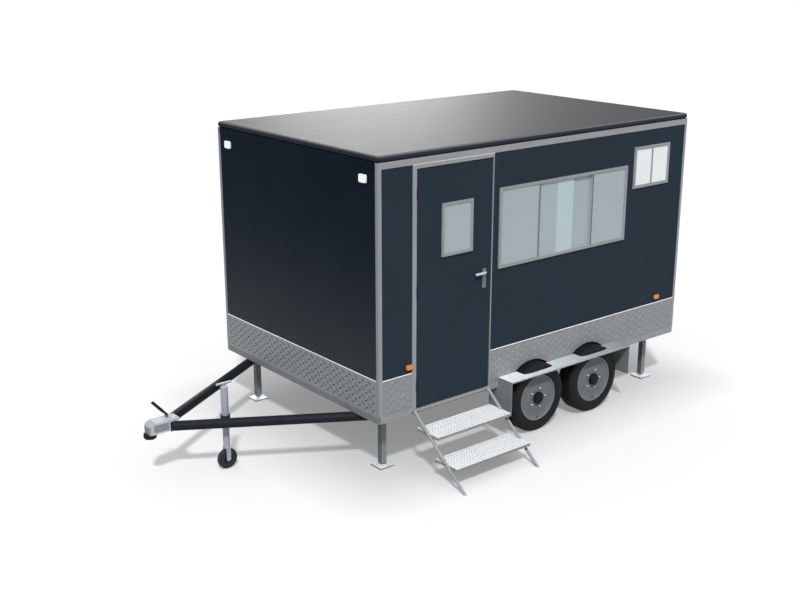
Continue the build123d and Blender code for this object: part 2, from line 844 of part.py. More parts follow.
def make_coupling_head():
    """Hollow housing with pressed sides, a flange over the drawbar tubes and the lever's lugs."""
    head = coupling_form(0) - coupling_form(head_wall)
    half = head_width / 2
    panel_x = (nose_x + head_nose_round + head_pocket_margin, head_back_x - head_pocket_margin)
    panel_z = (head_bottom + head_pocket_margin, head_top - head_pocket_margin - head_pocket_depth)
    pocket = block(panel_x, (-half - cut_overrun, head_pocket_depth - half), panel_z)
    head = head - pocket - far(pocket)
    flange_bottom = drawbar_level + drawbar_radius + running_gap
    flange_x = (head_back_x - head_wall, head_back_x + head_flange_length)
    head += block(flange_x, (-half, half), (flange_bottom, head_top))
    for side in (-1, 1):
        inner = side * (coupling_lever_width / 2 + running_gap)
        outer = inner + side * lug_thickness
        limits = (min(inner, outer), max(inner, outer))
        lug_x = (lever_pivot_x - lever_hub_radius, lever_pivot_x + lever_hub_radius)
        head += block(lug_x, limits, (head_top, lever_pivot_z))
        head += rod_y(lever_hub_radius, lever_pivot_x, limits, lever_pivot_z)
    reach = coupling_lever_width / 2 + lug_thickness
    return head + rod_y(lever_pin_radius, lever_pivot_x, (-reach, reach), lever_pivot_z)


def make_ball_cup():
    cup = rod_z(cup_radius, cup_x, 0, (cup_bottom, head_bottom))
    cup -= rod_z(ball_socket_radius, cup_x, 0, (cup_bottom - cut_overrun, cup_bottom + ball_socket_depth))
    lower_rim = cup.faces().sort_by(Axis.Z)[0].outer_wire().edges()
    return fillet(lower_rim, (cup_radius - ball_socket_radius) / 2)


def make_coupling_lever():
    half = coupling_lever_width / 2
    lever = rod_y(lever_hub_radius, lever_pivot_x, (-half, half), lever_pivot_z)
    place = Pos(lever_pivot_x, 0, lever_pivot_z) * Rot(0, coupling_lever_angle, 0)
    half_thickness = coupling_lever_thickness / 2
    bar = block((-coupling_lever_length, 0), (-half, half), (-half_thickness, half_thickness))
    tip = bar.edges().filter_by(Axis.Y).group_by(Axis.X)[0]
    bar = fillet(tip, coupling_lever_thickness * lever_tip_round_share)
    lever += place * bar
    deep = (-half - cut_overrun, half + cut_overrun)
    return lever - rod_y(lever_pin_radius + running_gap, lever_pivot_x, deep, lever_pivot_z)


def make_jockey_outer_tube():
    tube = rod_z(jockey_tube_radius, jockey_x, jockey_y, (jockey_tube_bottom, jockey_tube_top))
    bore = jockey_tube_radius - jockey_tube_wall
    cap_bottom = jockey_tube_top - jockey_crown_thickness
    tube -= rod_z(bore, jockey_x, jockey_y, (jockey_tube_bottom - cut_overrun, cap_bottom))
    deep = (jockey_tube_bottom, jockey_tube_top + cut_overrun)
    return tube - rod_z(jockey_swivel_radius + running_gap, jockey_x, jockey_y, deep)


def make_jockey_clamp():
    """A collar round the jockey tube with a bridge to the drawbar."""
    levels = (drawbar_level - clamp_height / 2, drawbar_level + clamp_height / 2)
    bridge = block((-jockey_reach, 0), (-clamp_width / 2, clamp_width / 2), levels)
    clamp = Pos(jockey_x, jockey_y, 0) * Rot(0, 0, 90 - math.degrees(drawbar_turn)) * bridge
    clamp += rod_z(jockey_tube_radius + clamp_wall, jockey_x, jockey_y, levels)
    clamp -= rod_z(jockey_tube_radius + running_gap, jockey_x, jockey_y, (0, jockey_tube_top))
    return clamp - drawbar_rod(drawbar_radius + running_gap)


def make_jockey_handle():
    """A spindle through the tube's top with a cross bar."""
    bar_z = jockey_tube_top + jockey_handle_rise
    cap_bottom = jockey_tube_top - jockey_crown_thickness
    spindle = rod_z(jockey_swivel_radius, jockey_x, jockey_y, (cap_bottom, bar_z))
    along_x = Pos(jockey_x, jockey_y, bar_z) * Rot(0, 90, 0)
    bar = along_x * Cylinder(jockey_handle_radius, jockey_handle_length)
    bar = fillet(bar.edges().filter_by(GeomType.CIRCLE), jockey_handle_radius * jockey_handle_round_share)
    return spindle + bar


def make_jockey_inner_tube():
    radius = jockey_tube_radius - jockey_tube_wall - running_gap
    tube = rod_z(radius, jockey_x, jockey_y, (fork_top + running_gap, jockey_inner_top))
    swivel_end = fork_top + jockey_swivel_height + running_gap
    socket = (fork_top - cut_overrun, swivel_end)
    return tube - rod_z(jockey_swivel_radius + running_gap, jockey_x, jockey_y, socket)


def make_jockey_fork():
    """A crown with a swivel pin, two cheeks and the wheel's pin, straight under the tube."""
    inner = jockey_wheel_width / 2 + side_gap
    outer = inner + jockey_cheek_thickness
    half = jockey_cheek_width / 2
    crown_z = (fork_top - jockey_crown_thickness, fork_top)
    fork = block((jockey_x - half, jockey_x + half), (jockey_y - outer, jockey_y + outer), crown_z)
    fork += rod_z(jockey_tube_radius - jockey_tube_wall - running_gap, jockey_x, jockey_y, crown_z)
    for side in (-1, 1):
        limits = sorted((jockey_y + side * inner, jockey_y + side * outer))
        fork += block((jockey_x - half, jockey_x + half), limits, (jockey_wheel_radius, crown_z[0]))
        fork += rod_y(half, jockey_x, limits, jockey_wheel_radius)
    fork += rod_y(jockey_pin_radius, jockey_x, (jockey_y - outer, jockey_y + outer), jockey_wheel_radius)
    swivel_z = (crown_z[0], fork_top + jockey_swivel_height)
    return fork + rod_z(jockey_swivel_radius, jockey_x, jockey_y, swivel_z)


def make_jockey_wheel():
    half = jockey_wheel_width / 2
    wheel = rod_y(jockey_wheel_radius, jockey_x, (jockey_y - half, jockey_y + half), jockey_wheel_radius)
    wheel = fillet(wheel.edges().filter_by(GeomType.CIRCLE), jockey_wheel_width * jockey_wheel_round_share)
    deep = (jockey_y - half - cut_overrun, jockey_y + half + cut_overrun)
    return wheel - rod_y(jockey_pin_radius + running_gap, jockey_x, deep, jockey_wheel_radius)


def make_leg_brackets():
    """A pair of cheeks with a pin under the chassis beam at each corner."""
    brackets = []
    inner = leg_size / 2 + leg_side_gap
    outer = inner + leg_cheek_thickness
    half = leg_cheek_length / 2
    for x in leg_x:
        bracket = rod_y(leg_pin_radius, x, (-beam_offset - outer, -beam_offset + outer), leg_pivot_z)
        for side in (-1, 1):
            limits = sorted((-beam_offset + side * inner, -beam_offset + side * outer))
            bracket += block((x - half, x + half), limits, (leg_pivot_z - leg_cheek_overlap, rail_bottom))
        brackets += [bracket, far(bracket)]
    return brackets


def make_leg(x):
    """A square tube with a plate foot on a short screwed stem, on the door side."""
    half = leg_size / 2
    y_limits = (-beam_offset - half, -beam_offset + half)
    leg = block((x - half, x + half), y_limits, (leg_bottom, leg_top))
    hollow = (leg_bottom + leg_wall, leg_top + cut_overrun)
    leg -= block(
        (x - half + leg_wall, x + half - leg_wall), (y_limits[0] + leg_wall, y_limits[1] - leg_wall), hollow
    )
    leg += rod_z(foot_stem_radius, x, -beam_offset, (0, leg_bottom + leg_wall))
    foot = foot_size / 2
    leg += block((x - foot, x + foot), (-beam_offset - foot, -beam_offset + foot), (0, foot_thickness))
    deep = (y_limits[0] - cut_overrun, y_limits[1] + cut_overrun)
    return leg - rod_y(leg_pin_radius + running_gap, x, deep, leg_pivot_z)


def stringer_rod(radius, x):
    """A round bar along a stringer's axis, longer than the stringer at both ends."""
    length = math.hypot(stringer_top, stringer_reach) + cut_overrun * 2
    middle_z = stringer_top / 2 - stringer_radius / math.cos(stringer_slope)
    middle = Pos(x, stringer_face - stringer_reach / 2, middle_z)
    return middle * Rot(math.degrees(stringer_slope) - 90, 0, 0) * Cylinder(radius, length)


def make_step_stringers():
    """Sloping tubes from the sill to the ground, one at each end of the treads."""
    bars = []
    for x in stringer_x:
        keep = block(
            (x - stringer_radius - cut_overrun, x + stringer_radius + cut_overrun),
            (stringer_face - stringer_reach - cut_overrun, stringer_face),
            (0, stringer_top + cut_overrun),
        )
        tube = stringer_rod(stringer_radius, x) - stringer_rod(stringer_radius - stringer_wall, x)
        bars.append(tube & keep)
    return bars


def make_step_treads():
    """Folded sheet treads, open below and notched at both ends for the stringers."""
    treads = []
    x_limits = stringer_x
    for share in tread_shares:
        top = stringer_top * (1 - share)
        middle = stringer_face - stringer_reach * share + tread_setback
        y_limits = (middle - tread_depth / 2, middle + tread_depth / 2)
        tread = block(x_limits, y_limits, (top - tread_thickness, top))
        tread -= block(
            (x_limits[0] + tread_sheet, x_limits[1] - tread_sheet),
            (y_limits[0] + tread_sheet, y_limits[1] - tread_sheet),
            (top - tread_thickness - cut_overrun, top - tread_sheet),
        )
        for x in stringer_x:
            tread -= stringer_rod(stringer_radius + running_gap, x)
        treads.append(tread)
    return treads


def build_nodes():
    """Every node of the part by name, each with its list of solids."""
    nodes = {
        "floor": [make_floor()],
        "front_wall": [make_front_wall()],
        "rear_wall": [rear(make_front_wall())],
        "far_wall": [make_far_wall()],
        "door_wall_front": [make_door_wall_front()],
        "door_wall_header": [make_door_wall_header()],
        "door_wall_rear": [make_door_wall_rear()],
        "roof": [make_roof()],
        "corner_posts": make_corner_posts(),
        "side_top_trims": make_side_top_trims(),
        "end_top_trims": make_end_top_trims(),
        "skirt_plates": make_skirt_plates(),
        "chassis_rails": make_chassis_rails(),
        "end_rails": make_end_rails(),
        "door_jambs": make_door_jambs(),
        "door_head": [make_door_head()],
        "door_sill": [make_door_sill()],
        "door_leaf": [make_door_leaf()],
        "door_window_frame": [make_door_window_frame()],
        "door_window_glass": [make_door_window_glass()],
        "door_handle_plate": [make_door_handle_plate()],
        "door_lever": [make_door_lever()],
        "hinge_fixed_halves": make_hinge_fixed_halves(),
        "hinge_moving_halves": make_hinge_moving_halves(),
        "window_frames": make_window_frames(),
        "window_glass": make_window_glass(),
        "side_markers": make_side_markers(),
        "front_markers": make_front_markers(),
        "rear_markers": make_rear_markers(),
        "mudguards": make_mudguards(),
        "wheel_arches": make_wheel_arches(),
        "axles": make_axles(),
        "drawbar_tubes": make_drawbar_tubes(),
        "drawbar_plate": [make_drawbar_plate()],
        "coupling_head": [make_coupling_head()],
        "ball_cup": [make_ball_cup()],
        "coupling_lever": [make_coupling_lever()],
        "jockey_outer_tube": [make_jockey_outer_tube()],
        "jockey_clamp": [make_jockey_clamp()],
        "jockey_handle": [make_jockey_handle()],
        "jockey_inner_tube": [make_jockey_inner_tube()],
        "jockey_fork": [make_jockey_fork()],
        "jockey_wheel": [make_jockey_wheel()],
        "leg_brackets": make_leg_brackets(),
        "step_stringers": make_step_stringers(),
        "step_treads": make_step_treads(),
    }
    tyre = make_tyre()
    disc = make_wheel_disc()
    for end, x, corner_x in zip(("front", "rear"), wheel_x, leg_x):
        leg = make_leg(corner_x)
        nodes[f"tyre_{end}_door_side"] = [wheel_place(x) * tyre]
        nodes[f"wheel_{end}_door_side"] = [wheel_place(x) * disc]
        nodes[f"leg_{end}_door_side"] = [leg]
        nodes[f"tyre_{end}_far_side"] = [far(wheel_place(x) * tyre)]
        nodes[f"wheel_{end}_far_side"] = [far(wheel_place(x) * disc)]
        nodes[f"leg_{end}_far_side"] = [far(leg)]
    return nodes


def footprint_centre(nodes):
    """Middle of the whole part's bounding box, at ground level."""
    boxes = [solid.bounding_box() for solids in nodes.values() for solid in solids]
    low = [min(tuple(box.min)[axis] for box in boxes) for axis in range(3)]
    high = [max(tuple(box.max)[axis] for box in boxes) for axis in range(3)]
    return Vector((low[0] + high[0]) / 2, (low[1] + high[1]) / 2, low[2])


nodes = build_nodes()
origin = footprint_centre(nodes)
os.makedirs("parts", exist_ok=True)
for name, solids in nodes.items():
    placed = [Pos(-origin.X, -origin.Y, -origin.Z) * solid for solid in solids]
    shape = placed[0] if len(placed) == 1 else Compound(placed)
    export_step(shape, f"parts/{name}.step")
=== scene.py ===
import bmesh
import bpy
import itertools
import json
import math
from mathutils import Matrix, Vector


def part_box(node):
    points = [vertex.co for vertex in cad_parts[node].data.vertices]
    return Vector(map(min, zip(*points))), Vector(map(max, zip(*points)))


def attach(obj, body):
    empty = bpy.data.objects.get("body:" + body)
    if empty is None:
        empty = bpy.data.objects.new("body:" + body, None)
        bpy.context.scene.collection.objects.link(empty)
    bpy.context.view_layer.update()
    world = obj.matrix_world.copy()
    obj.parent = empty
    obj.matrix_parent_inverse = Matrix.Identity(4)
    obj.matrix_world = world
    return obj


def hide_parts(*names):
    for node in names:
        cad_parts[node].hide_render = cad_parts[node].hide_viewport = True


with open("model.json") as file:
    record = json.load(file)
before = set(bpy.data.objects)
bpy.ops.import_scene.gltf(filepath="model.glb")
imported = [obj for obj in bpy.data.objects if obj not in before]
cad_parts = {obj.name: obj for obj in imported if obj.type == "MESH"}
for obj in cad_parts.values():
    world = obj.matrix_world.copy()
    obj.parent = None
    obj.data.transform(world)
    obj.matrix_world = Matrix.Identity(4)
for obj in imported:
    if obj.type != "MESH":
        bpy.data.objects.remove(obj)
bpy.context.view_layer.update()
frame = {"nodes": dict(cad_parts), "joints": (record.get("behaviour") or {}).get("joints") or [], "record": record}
nodes = frame["nodes"]
joints = {joint["name"]: joint for joint in frame["joints"]}

# Camera of the photograph, measured from the body's front door-side corner on the ground
CAMERA_OFFSET = Vector((-5.161, -6.618, 4.115))
CAMERA_AZIMUTH = math.radians(-39.074)
CAMERA_ELEVATION = math.radians(17.199)
FOCAL_PIXELS = 1148.88
IMAGE_WIDTH_PIXELS = 800
SENSOR_WIDTH_MM = 36.0
CLIP_END = 1000.0

# Studio
FLOOR_HALF_SIZE = 150.0
FLOOR_COLOUR = 0.73
FLOOR_BOUNCE = 0.45
FLOOR_GLOW = 0.24
# Painted contact shadow on the floor near the body: its share of the floor colour and its reach
FLOOR_SHADOW_SHARE = 0.67
FLOOR_SHADOW_REACH = 0.68
SKY_HORIZON = 0.2
SKY_ZENITH = 0.75
SUN_AZIMUTH = math.radians(-37.0)
SUN_ELEVATION = math.radians(50.0)
SUN_DISTANCE = 10.0
SUN_STRENGTH = 2.2
SUN_SIZE = math.radians(5.0)
SOFTBOX_BEARING = math.radians(-1.75)
SOFTBOX_DISTANCE = 25.0
SOFTBOX_HEIGHT = 6.2
SOFTBOX_SIZE = 4.5
SOFTBOX_POWER = 1340.0

# Light on each side of the body, by which surface colours follow from the ones that show
DOOR_LIGHT = 0.91
FRONT_LIGHT = 0.92
TOP_LIGHT = 1.15
GLASS_LIGHT = 0.74

# Materials
WHITE = (1.0, 1.0, 1.0, 1.0)
EVEN = (1.0, 1.0, 1.0)
ALONG_X = (0.05, 1.0, 1.0)
ALONG_Z = (1.0, 1.0, 0.05)
GLASS_COVER = 0.8
# Painted bounce light on the front wall: how fast its lighter colour fades upwards from the skirt
PAINTED_BOUNCE_POWER = 2.3
# Painted shade on the roof edge's faces towards the drawbar
ROOF_PAINTED_SHADE_SHARE = 0.6
# Painted shade on the large window's bars
MULLION_SHADE_SHARE = 0.45
OUTER_FACE_NORMAL = -0.5
# Painted highlight along the guards' tops, from front end to rear end
GUARD_HIGHLIGHT_SHARES = (2.35, 0.75)

# Mesh fineness
ROUND_SEGMENTS = 32
SMALL_SEGMENTS = 12
HEX_SIDES = 6
SHARP_ANGLE = math.radians(32.0)
MERGE_DISTANCE = 0.00001

# Turned heads and caps, as shares of their radius and height
RIVET_SHARES = ((1, 0), (0.9, 0.55), (0.55, 0.9), (0, 1))
BOLT_HEAD_SHARES = ((1, 0), (1, 0.8), (0.86, 1), (0, 1))
NUT_SHARES = ((1, 0), (1, 0.7), (0.75, 1), (0, 1))
LOCK_SHARES = ((1, 0), (1, 0.8), (0.8, 1), (0, 1))
HUB_CAP_SHARES = ((1, 0), (1, 0.55), (0.93, 0.8), (0.72, 0.95), (0.35, 1), (0, 1))
LEG_NUT_SHARES = ((0, 0), (1, 0), (1, 1), (0, 1))

# Checker plate bars
BAR_END_PITCH = 0.044
BAR_END_LENGTH = 0.054
BAR_SIDE_PITCH = 0.054
BAR_SIDE_LENGTH = 0.060
BAR_PITCH_UP = 0.064
BAR_LEAN = math.radians(35.0)
BAR_WIDTH = 0.012
BAR_HEIGHT = 0.002
BAR_MARGIN = 0.006
BAR_OUTLINE_SHARES = ((0.5, 0.0), (0.27, 0.42), (0.0, 0.5), (-0.27, 0.42),
                      (-0.5, 0.0), (-0.27, -0.42), (0.0, -0.5), (0.27, -0.42))
BAR_CREST_SHARE = 0.6

# Caps, rivets and seals
CAP_HEIGHT = 0.0095
BEAD_HEIGHT = 0.004
CAP_PROUD = 0.0035
CAP_SOFT_SHARE = 0.4
BEAD_SOFT_SHARE = 0.15
BAND_EDGE = 0.0004
RIVET_RADIUS = 0.004
RIVET_HEIGHT = 0.0016
RIVET_PITCH = 0.3
POST_RIVET_SHARE = 0.62
GASKET_WIDTH = 0.004
GASKET_DEPTH = 0.004
SEAL_WIDTH = 0.012
SEAL_GAP = 0.0008
EDGE_SOFTENING = 0.0012

# Door furniture
LOCK_RADIUS = 0.0085
LOCK_DEPTH = 0.006
LOCK_BELOW_LEVER = 0.07
KEYWAY = (0.0022, 0.0065)
ROSE_RADIUS = 0.019
ROSE_DEPTH = 0.004
SCREW_RADIUS = 0.004

# Lamps
LAMP_BASE_MARGIN = 0.0015
LAMP_BASE_DEPTH = 0.004
LAMP_RIBS = 4
LAMP_RIB_WIDTH = 0.002
LAMP_RIB_END_SHARE = 0.15
LAMP_RIB_DEPTH_SHARE = 0.3

# Road wheels and guards
NUT_COUNT = 5
NUT_CIRCLE = 0.088
NUT_RADIUS = 0.0075
NUT_HEIGHT = 0.012
RIM_RING_WIDTH = 0.005
DISC_SET_BACK_SHARE = 0.075
CAP_SET_BACK_SHARE = 0.06
HUB_CAP_RADIUS = 0.054
HUB_CAP_HEIGHT = 0.028
LIP_GAP = 0.005
LIP_THICKNESS = 0.003
VALVE_RADIUS = 0.004
VALVE_LENGTH = 0.028

# Drawbar, coupling and jockey wheel
BOLT_RADIUS = 0.010
BOLT_HEIGHT = 0.007
FLANGE_BOLT_SHARE = 0.62
SMALL_BOLT_SHARE = 0.8
LEVER_ABOVE_HEAD = 0.018
HEAD_NOSE_ROUND = 0.024
POCKET_MARGIN = 0.007
POCKET_DEPTH = 0.003
LUG_WIDTH = 0.0083
GRIP_START_SHARE = 0.35
GRIP_WALL = 0.002
GRIP_RINGS = 7
GRIP_THICKNESS = 0.024
GRIP_EDGE = 0.003
JOCKEY_HUB_RADIUS = 0.040
JOCKEY_HUB_DEPTH = 0.003
JOCKEY_HUB_BORE = 0.0085
JOCKEY_HUB_INSET = 0.0005
CLAMP_SCREW_RADIUS = 0.006
CLAMP_SCREW_LENGTH = 0.045
CLAMP_SCREW_INSET = 0.002
CLAMP_BAR_LENGTH = 0.07

# Corner legs
LEG_STEM_RADIUS = 0.012
LEG_NUT_RADIUS = 0.021
LEG_NUT_HEIGHT = 0.010
PIN_HEAD_RADIUS = 0.013
PIN_HEAD_DEPTH = 0.006
FOOT_WELD = 0.008

# Steps
HOLE_COLUMNS = 28
HOLE_ROWS = 7
HOLE_RADIUS = 0.0054
HOLE_SIDES = 8
TREAD_SHEET = 0.003
TREAD_BORDER = 0.012
TREAD_EDGE = 0.0003
STEP_HOOK_SIZE = (0.036, 0.006, 0.05)
HOOK_BELOW_TOP = 0.002

# Where the road wheels and the legs stand
CORNERS = tuple(itertools.product(("front", "rear"), ("door_side", "far_side")))


def srgb(red, green, blue):
    """A linear colour from values between 0 and 255."""
    def linear(value):
        value /= 255.0
        return value / 12.92 if value <= 0.04045 else ((value + 0.055) / 1.055) ** 2.4
    return (linear(red), linear(green), linear(blue), 1.0)


def toned(colour, factor):
    return tuple(min(channel * factor, 1.0) for channel in colour[:3]) + (1.0,)


def lit(red, green, blue, light=DOOR_LIGHT):
    """The surface colour that shows the given values under a known amount of light."""
    return toned(srgb(red, green, blue), 1.0 / light)


looks = {}


class Nodes:
    """A node tree, and short ways to add to it."""

    def __init__(self, tree):
        self.tree = tree

    def feed(self, socket, value):
        if isinstance(value, bpy.types.NodeSocket):
            self.tree.links.new(value, socket)
        else:
            socket.default_value = value

    def add(self, kind, **inputs):
        node = self.tree.nodes.new(kind)
        for name, value in inputs.items():
            self.feed(node.inputs[name.replace("_", " ")], value)
        return node

    def operate(self, kind, operation, *values):
        """A node of mathematics, fed in the order of its sockets."""
        node = self.tree.nodes.new(kind)
        node.operation = operation
        for socket, value in zip(node.inputs, values):
            self.feed(socket, value)
        return node

    def maths(self, operation, first, second):
        return self.operate("ShaderNodeMath", operation, first, second).outputs["Value"]

    def span(self, value, start, end, low, high):
        """A value taken from one range into another."""
        limits = {"From_Min": start, "From_Max": end, "To_Min": low, "To_Max": high}
        return self.add("ShaderNodeMapRange", Value=value, **limits).outputs["Result"]

    def split(self, vector):
        return self.add("ShaderNodeSeparateXYZ", Vector=vector).outputs


class Look(Nodes):
    """A procedural material in the part's own coordinates, kept in looks under its name."""

    def __init__(self, name, roughness, metallic=0.0, specular=0.5):
        looks[name] = bpy.data.materials.new(name)
        looks[name].use_nodes = True
        super().__init__(looks[name].node_tree)
        self.shader = self.tree.nodes["Principled BSDF"]
        self.place = self.add("ShaderNodeTexCoord").outputs["Object"]
        self.set("Roughness", roughness)
        self.set("Metallic", metallic)
        self.set("Specular IOR Level", specular)

    def set(self, name, value):
        self.feed(self.shader.inputs[name], value)

    def stretched(self, stretch):
        return self.add("ShaderNodeMapping", Vector=self.place, Scale=stretch).outputs["Vector"]

    def noise(self, scale, detail=4.0, stretch=EVEN):
        node = self.add("ShaderNodeTexNoise", Vector=self.stretched(stretch), Scale=scale, Detail=detail)
        return node.outputs["Fac"]

    def cells(self, scale, stretch=EVEN):
        node = self.add("ShaderNodeTexVoronoi", Vector=self.stretched(stretch), Scale=scale)
        return self.add("ShaderNodeSeparateColor", Color=node.outputs["Color"]).outputs["Red"]

    def axis(self, name):
        return self.split(self.place)[name]

    def normal(self):
        return self.split(self.add("ShaderNodeTexCoord").outputs["Normal"])

    def within(self, value, low, high):
        """One between two limits, else zero."""
        above = self.maths("GREATER_THAN", value, low)
        return self.maths("MULTIPLY", above, self.maths("LESS_THAN", value, high))

    def ramp(self, factor, *stops):
        node = self.add("ShaderNodeValToRGB", Fac=factor)
        elements = node.color_ramp.elements
        while len(elements) < len(stops):
            elements.new(1.0)
        for element, (position, colour) in zip(elements, stops):
            element.position = position
            element.color = colour
        return node.outputs["Color"]

    def blend(self, factor, first, second):
        node = self.tree.nodes.new("ShaderNodeMix")
        node.data_type = "RGBA"
        colours = [socket for socket in node.inputs if socket.type == "RGBA"]
        self.feed(node.inputs["Factor"], factor)
        self.feed(colours[0], first)
        self.feed(colours[1], second)
        return [socket for socket in node.outputs if socket.type == "RGBA"][0]

    def colour(self, value):
        self.set("Base Color", value)

    def painted_light_by_facing(self, value, up, front):
        """The colour painted lighter on upward faces as a painted highlight, and scaled on faces towards the
        drawbar, mostly darker as painted shade.
        """
        normal = self.normal()
        top = self.span(normal["Z"], 0.0, 1.0, 0.0, 1.0)
        painted_shade_mask = self.span(normal["X"], 0.0, -1.0, 0.0, 1.0)
        value = self.blend(top, value, self.scaled(value, up))
        return self.blend(painted_shade_mask, value, self.scaled(value, front))

    def scaled(self, value, factor):
        node = self.operate("ShaderNodeVectorMath", "SCALE", value)
        self.feed(node.inputs["Scale"], factor)
        return node.outputs["Vector"]

    def mottle(self, colour, amount, scale, stretch=EVEN):
        """The colour with soft lighter and darker patches."""
        noise = self.noise(scale, stretch=stretch)
        return self.ramp(noise, (0.3, toned(colour, 1.0 - amount)), (0.7, toned(colour, 1.0 + amount)))

    def vary_roughness(self, middle, amount, scale, stretch=EVEN):
        noise = self.noise(scale, stretch=stretch)
        self.set("Roughness", self.span(noise, 0.3, 0.7, middle - amount, middle + amount))

    def bump(self, height, strength, distance):
        node = self.add("ShaderNodeBump", Height=height, Strength=strength, Distance=distance)
        self.set("Normal", node.outputs["Normal"])


def painted_panel(name, paint, painted_bounce=None):
    """Coated insulated panel; a second colour, where given, is blended in towards the skirt as painted bounce
    light from the floor.
    """
    look = Look(name, 0.6, specular=0.03)
    coat = look.mottle(paint, 0.05, 1.8)
    # Painted bounce light: lighter towards the skirt
    if painted_bounce:
        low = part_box("skirt_plates")[1].z
        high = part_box("side_top_trims")[0].z
        painted_bounce_share = look.span(look.axis("Z"), high, low, 0.0, 1.0)
        painted_bounce_share = look.maths("POWER", painted_bounce_share, PAINTED_BOUNCE_POWER)
        coat = look.blend(painted_bounce_share, coat, painted_bounce)
    look.colour(coat)
    look.vary_roughness(0.6, 0.06, 3.0)
    look.bump(look.noise(420.0), 0.06, 0.001)


def roof_sheet():
    """Coated roof with a dark edge, a painted highlight along its rounded rim, and painted shade on the edge's
    faces towards the drawbar.
    """
    look = Look("roof_sheet", 0.61, specular=0.08)
    normal = look.normal()
    edge = look.ramp(normal["Z"], (0.0, lit(40, 46, 56)), (0.45, lit(50, 54, 62)),
                     (0.85, lit(120, 122, 127, TOP_LIGHT)))
    painted_shade_mask = look.span(normal["X"], 0.0, -1.0, 0.0, 1.0)
    edge = look.blend(painted_shade_mask, edge, look.scaled(edge, ROOF_PAINTED_SHADE_SHARE))
    top = look.span(normal["Z"], 0.9, 1.0, 0.0, 1.0)
    look.colour(look.blend(top, edge, look.mottle(lit(54, 55, 58, TOP_LIGHT), 0.04, 2.2)))
    look.vary_roughness(0.61, 0.006, 5.0)
    look.bump(look.noise(300.0), 0.012, 0.0005)


def painted_mullion_shade(look, base):
    """The metal painted darker on the outer faces of the large window's slim bars, painted shade."""
    panes = solid_boxes("window_glass")
    along, level = look.axis("X"), look.axis("Z")
    outer = look.maths("LESS_THAN", look.normal()["Y"], OUTER_FACE_NORMAL)
    between = look.maths("MULTIPLY", look.within(level, panes[0][0].z, panes[0][1].z), outer)
    for left, right in (panes[0:2], panes[2:4]):
        bar = look.maths("MULTIPLY", look.within(along, left[1].x, right[0].x), between)
        base = look.blend(bar, base, look.scaled(base, MULLION_SHADE_SHARE))
    return base


def drawn_metal(name, colour, grain, roughness=0.45, metallic=0.1, up=1.0, front=1.0, tint=None):
    """Extruded or rolled metal with a fine grain along one axis; up paints a highlight on upward faces, front
    paints shade on faces towards the drawbar, and tint can paint more shade.
    """
    look = Look(name, roughness, metallic, specular=0.2)
    streaks = look.noise(60.0, stretch=grain)
    base = look.ramp(streaks, (0.25, toned(colour, 0.92)), (0.75, toned(colour, 1.08)))
    if tint:
        base = tint(look, base)
    look.colour(look.painted_light_by_facing(base, up, front))
    look.vary_roughness(roughness, 0.07, 40.0, grain)
    look.bump(look.noise(250.0, stretch=grain), 0.05, 0.0006)


def guard_painted_highlight(look):
    """How much the guards' tops are painted lighter, a painted highlight, from their front ends to their rear
    ends.
    """
    low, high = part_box("mudguards")
    return look.span(look.axis("X"), low.x, high.x, *GUARD_HIGHLIGHT_SHARES)


def galvanised(name, colour, metallic=0.1, up=1.0, front=1.0, contrast=0.1):
    """Zinc-coated steel with its crystal pattern; up paints a highlight on upward faces and front paints shade on
    faces towards the drawbar; up is a factor or a function of the look.
    """
    look = Look(name, 0.5, metallic, specular=0.2)
    up = up(look) if callable(up) else up
    spangle = look.cells(70.0)
    base = look.ramp(spangle, (0.0, toned(colour, 1.0 - contrast)), (1.0, toned(colour, 1.0 + contrast)))
    stain = look.noise(5.0)
    stained = look.blend(look.span(stain, 0.5, 0.85, 0.0, 0.2), base, toned(colour, 0.8))
    look.colour(look.painted_light_by_facing(stained, up, front))
    look.set("Roughness", look.span(spangle, 0.0, 1.0, 0.42, 0.58))
    look.bump(look.noise(160.0), 0.06, 0.0008)


def coated_steel(name, colour, roughness=0.5, specular=0.15, patches=0.1):
    """Paint or powder coat with orange peel and dulled patches."""
    look = Look(name, roughness, specular=specular)
    look.colour(look.mottle(colour, patches, 9.0))
    look.vary_roughness(roughness, 0.08, 14.0)
    look.bump(look.noise(350.0), 0.1, 0.0008)


def moulded_plastic(name, colour, roughness=0.45, specular=0.35):
    look = Look(name, roughness, specular=specular)
    look.colour(look.mottle(colour, 0.12, 30.0))
    look.vary_roughness(roughness, 0.06, 60.0)
    look.bump(look.cells(900.0), 0.08, 0.0004)


def tyre_rubber():
    look = Look("tyre_rubber", 0.7, specular=0.2)
    base = look.mottle(srgb(20, 22, 24), 0.15, 25.0)
    look.colour(look.blend(look.span(look.noise(4.0), 0.5, 0.85, 0.0, 0.3), base, srgb(40, 41, 41)))
    look.vary_roughness(0.7, 0.08, 40.0)
    look.bump(look.noise(500.0), 0.12, 0.0006)


def coated_board():
    """Film-faced plywood with its fine wire-mesh print."""
    look = Look("floor_board", 0.55, specular=0.3)
    grain = look.noise(8.0, stretch=(1.0, 14.0, 14.0))
    look.colour(look.ramp(grain, (0.3, srgb(62, 56, 50)), (0.7, srgb(82, 75, 68))))
    look.bump(look.cells(180.0), 0.15, 0.001)


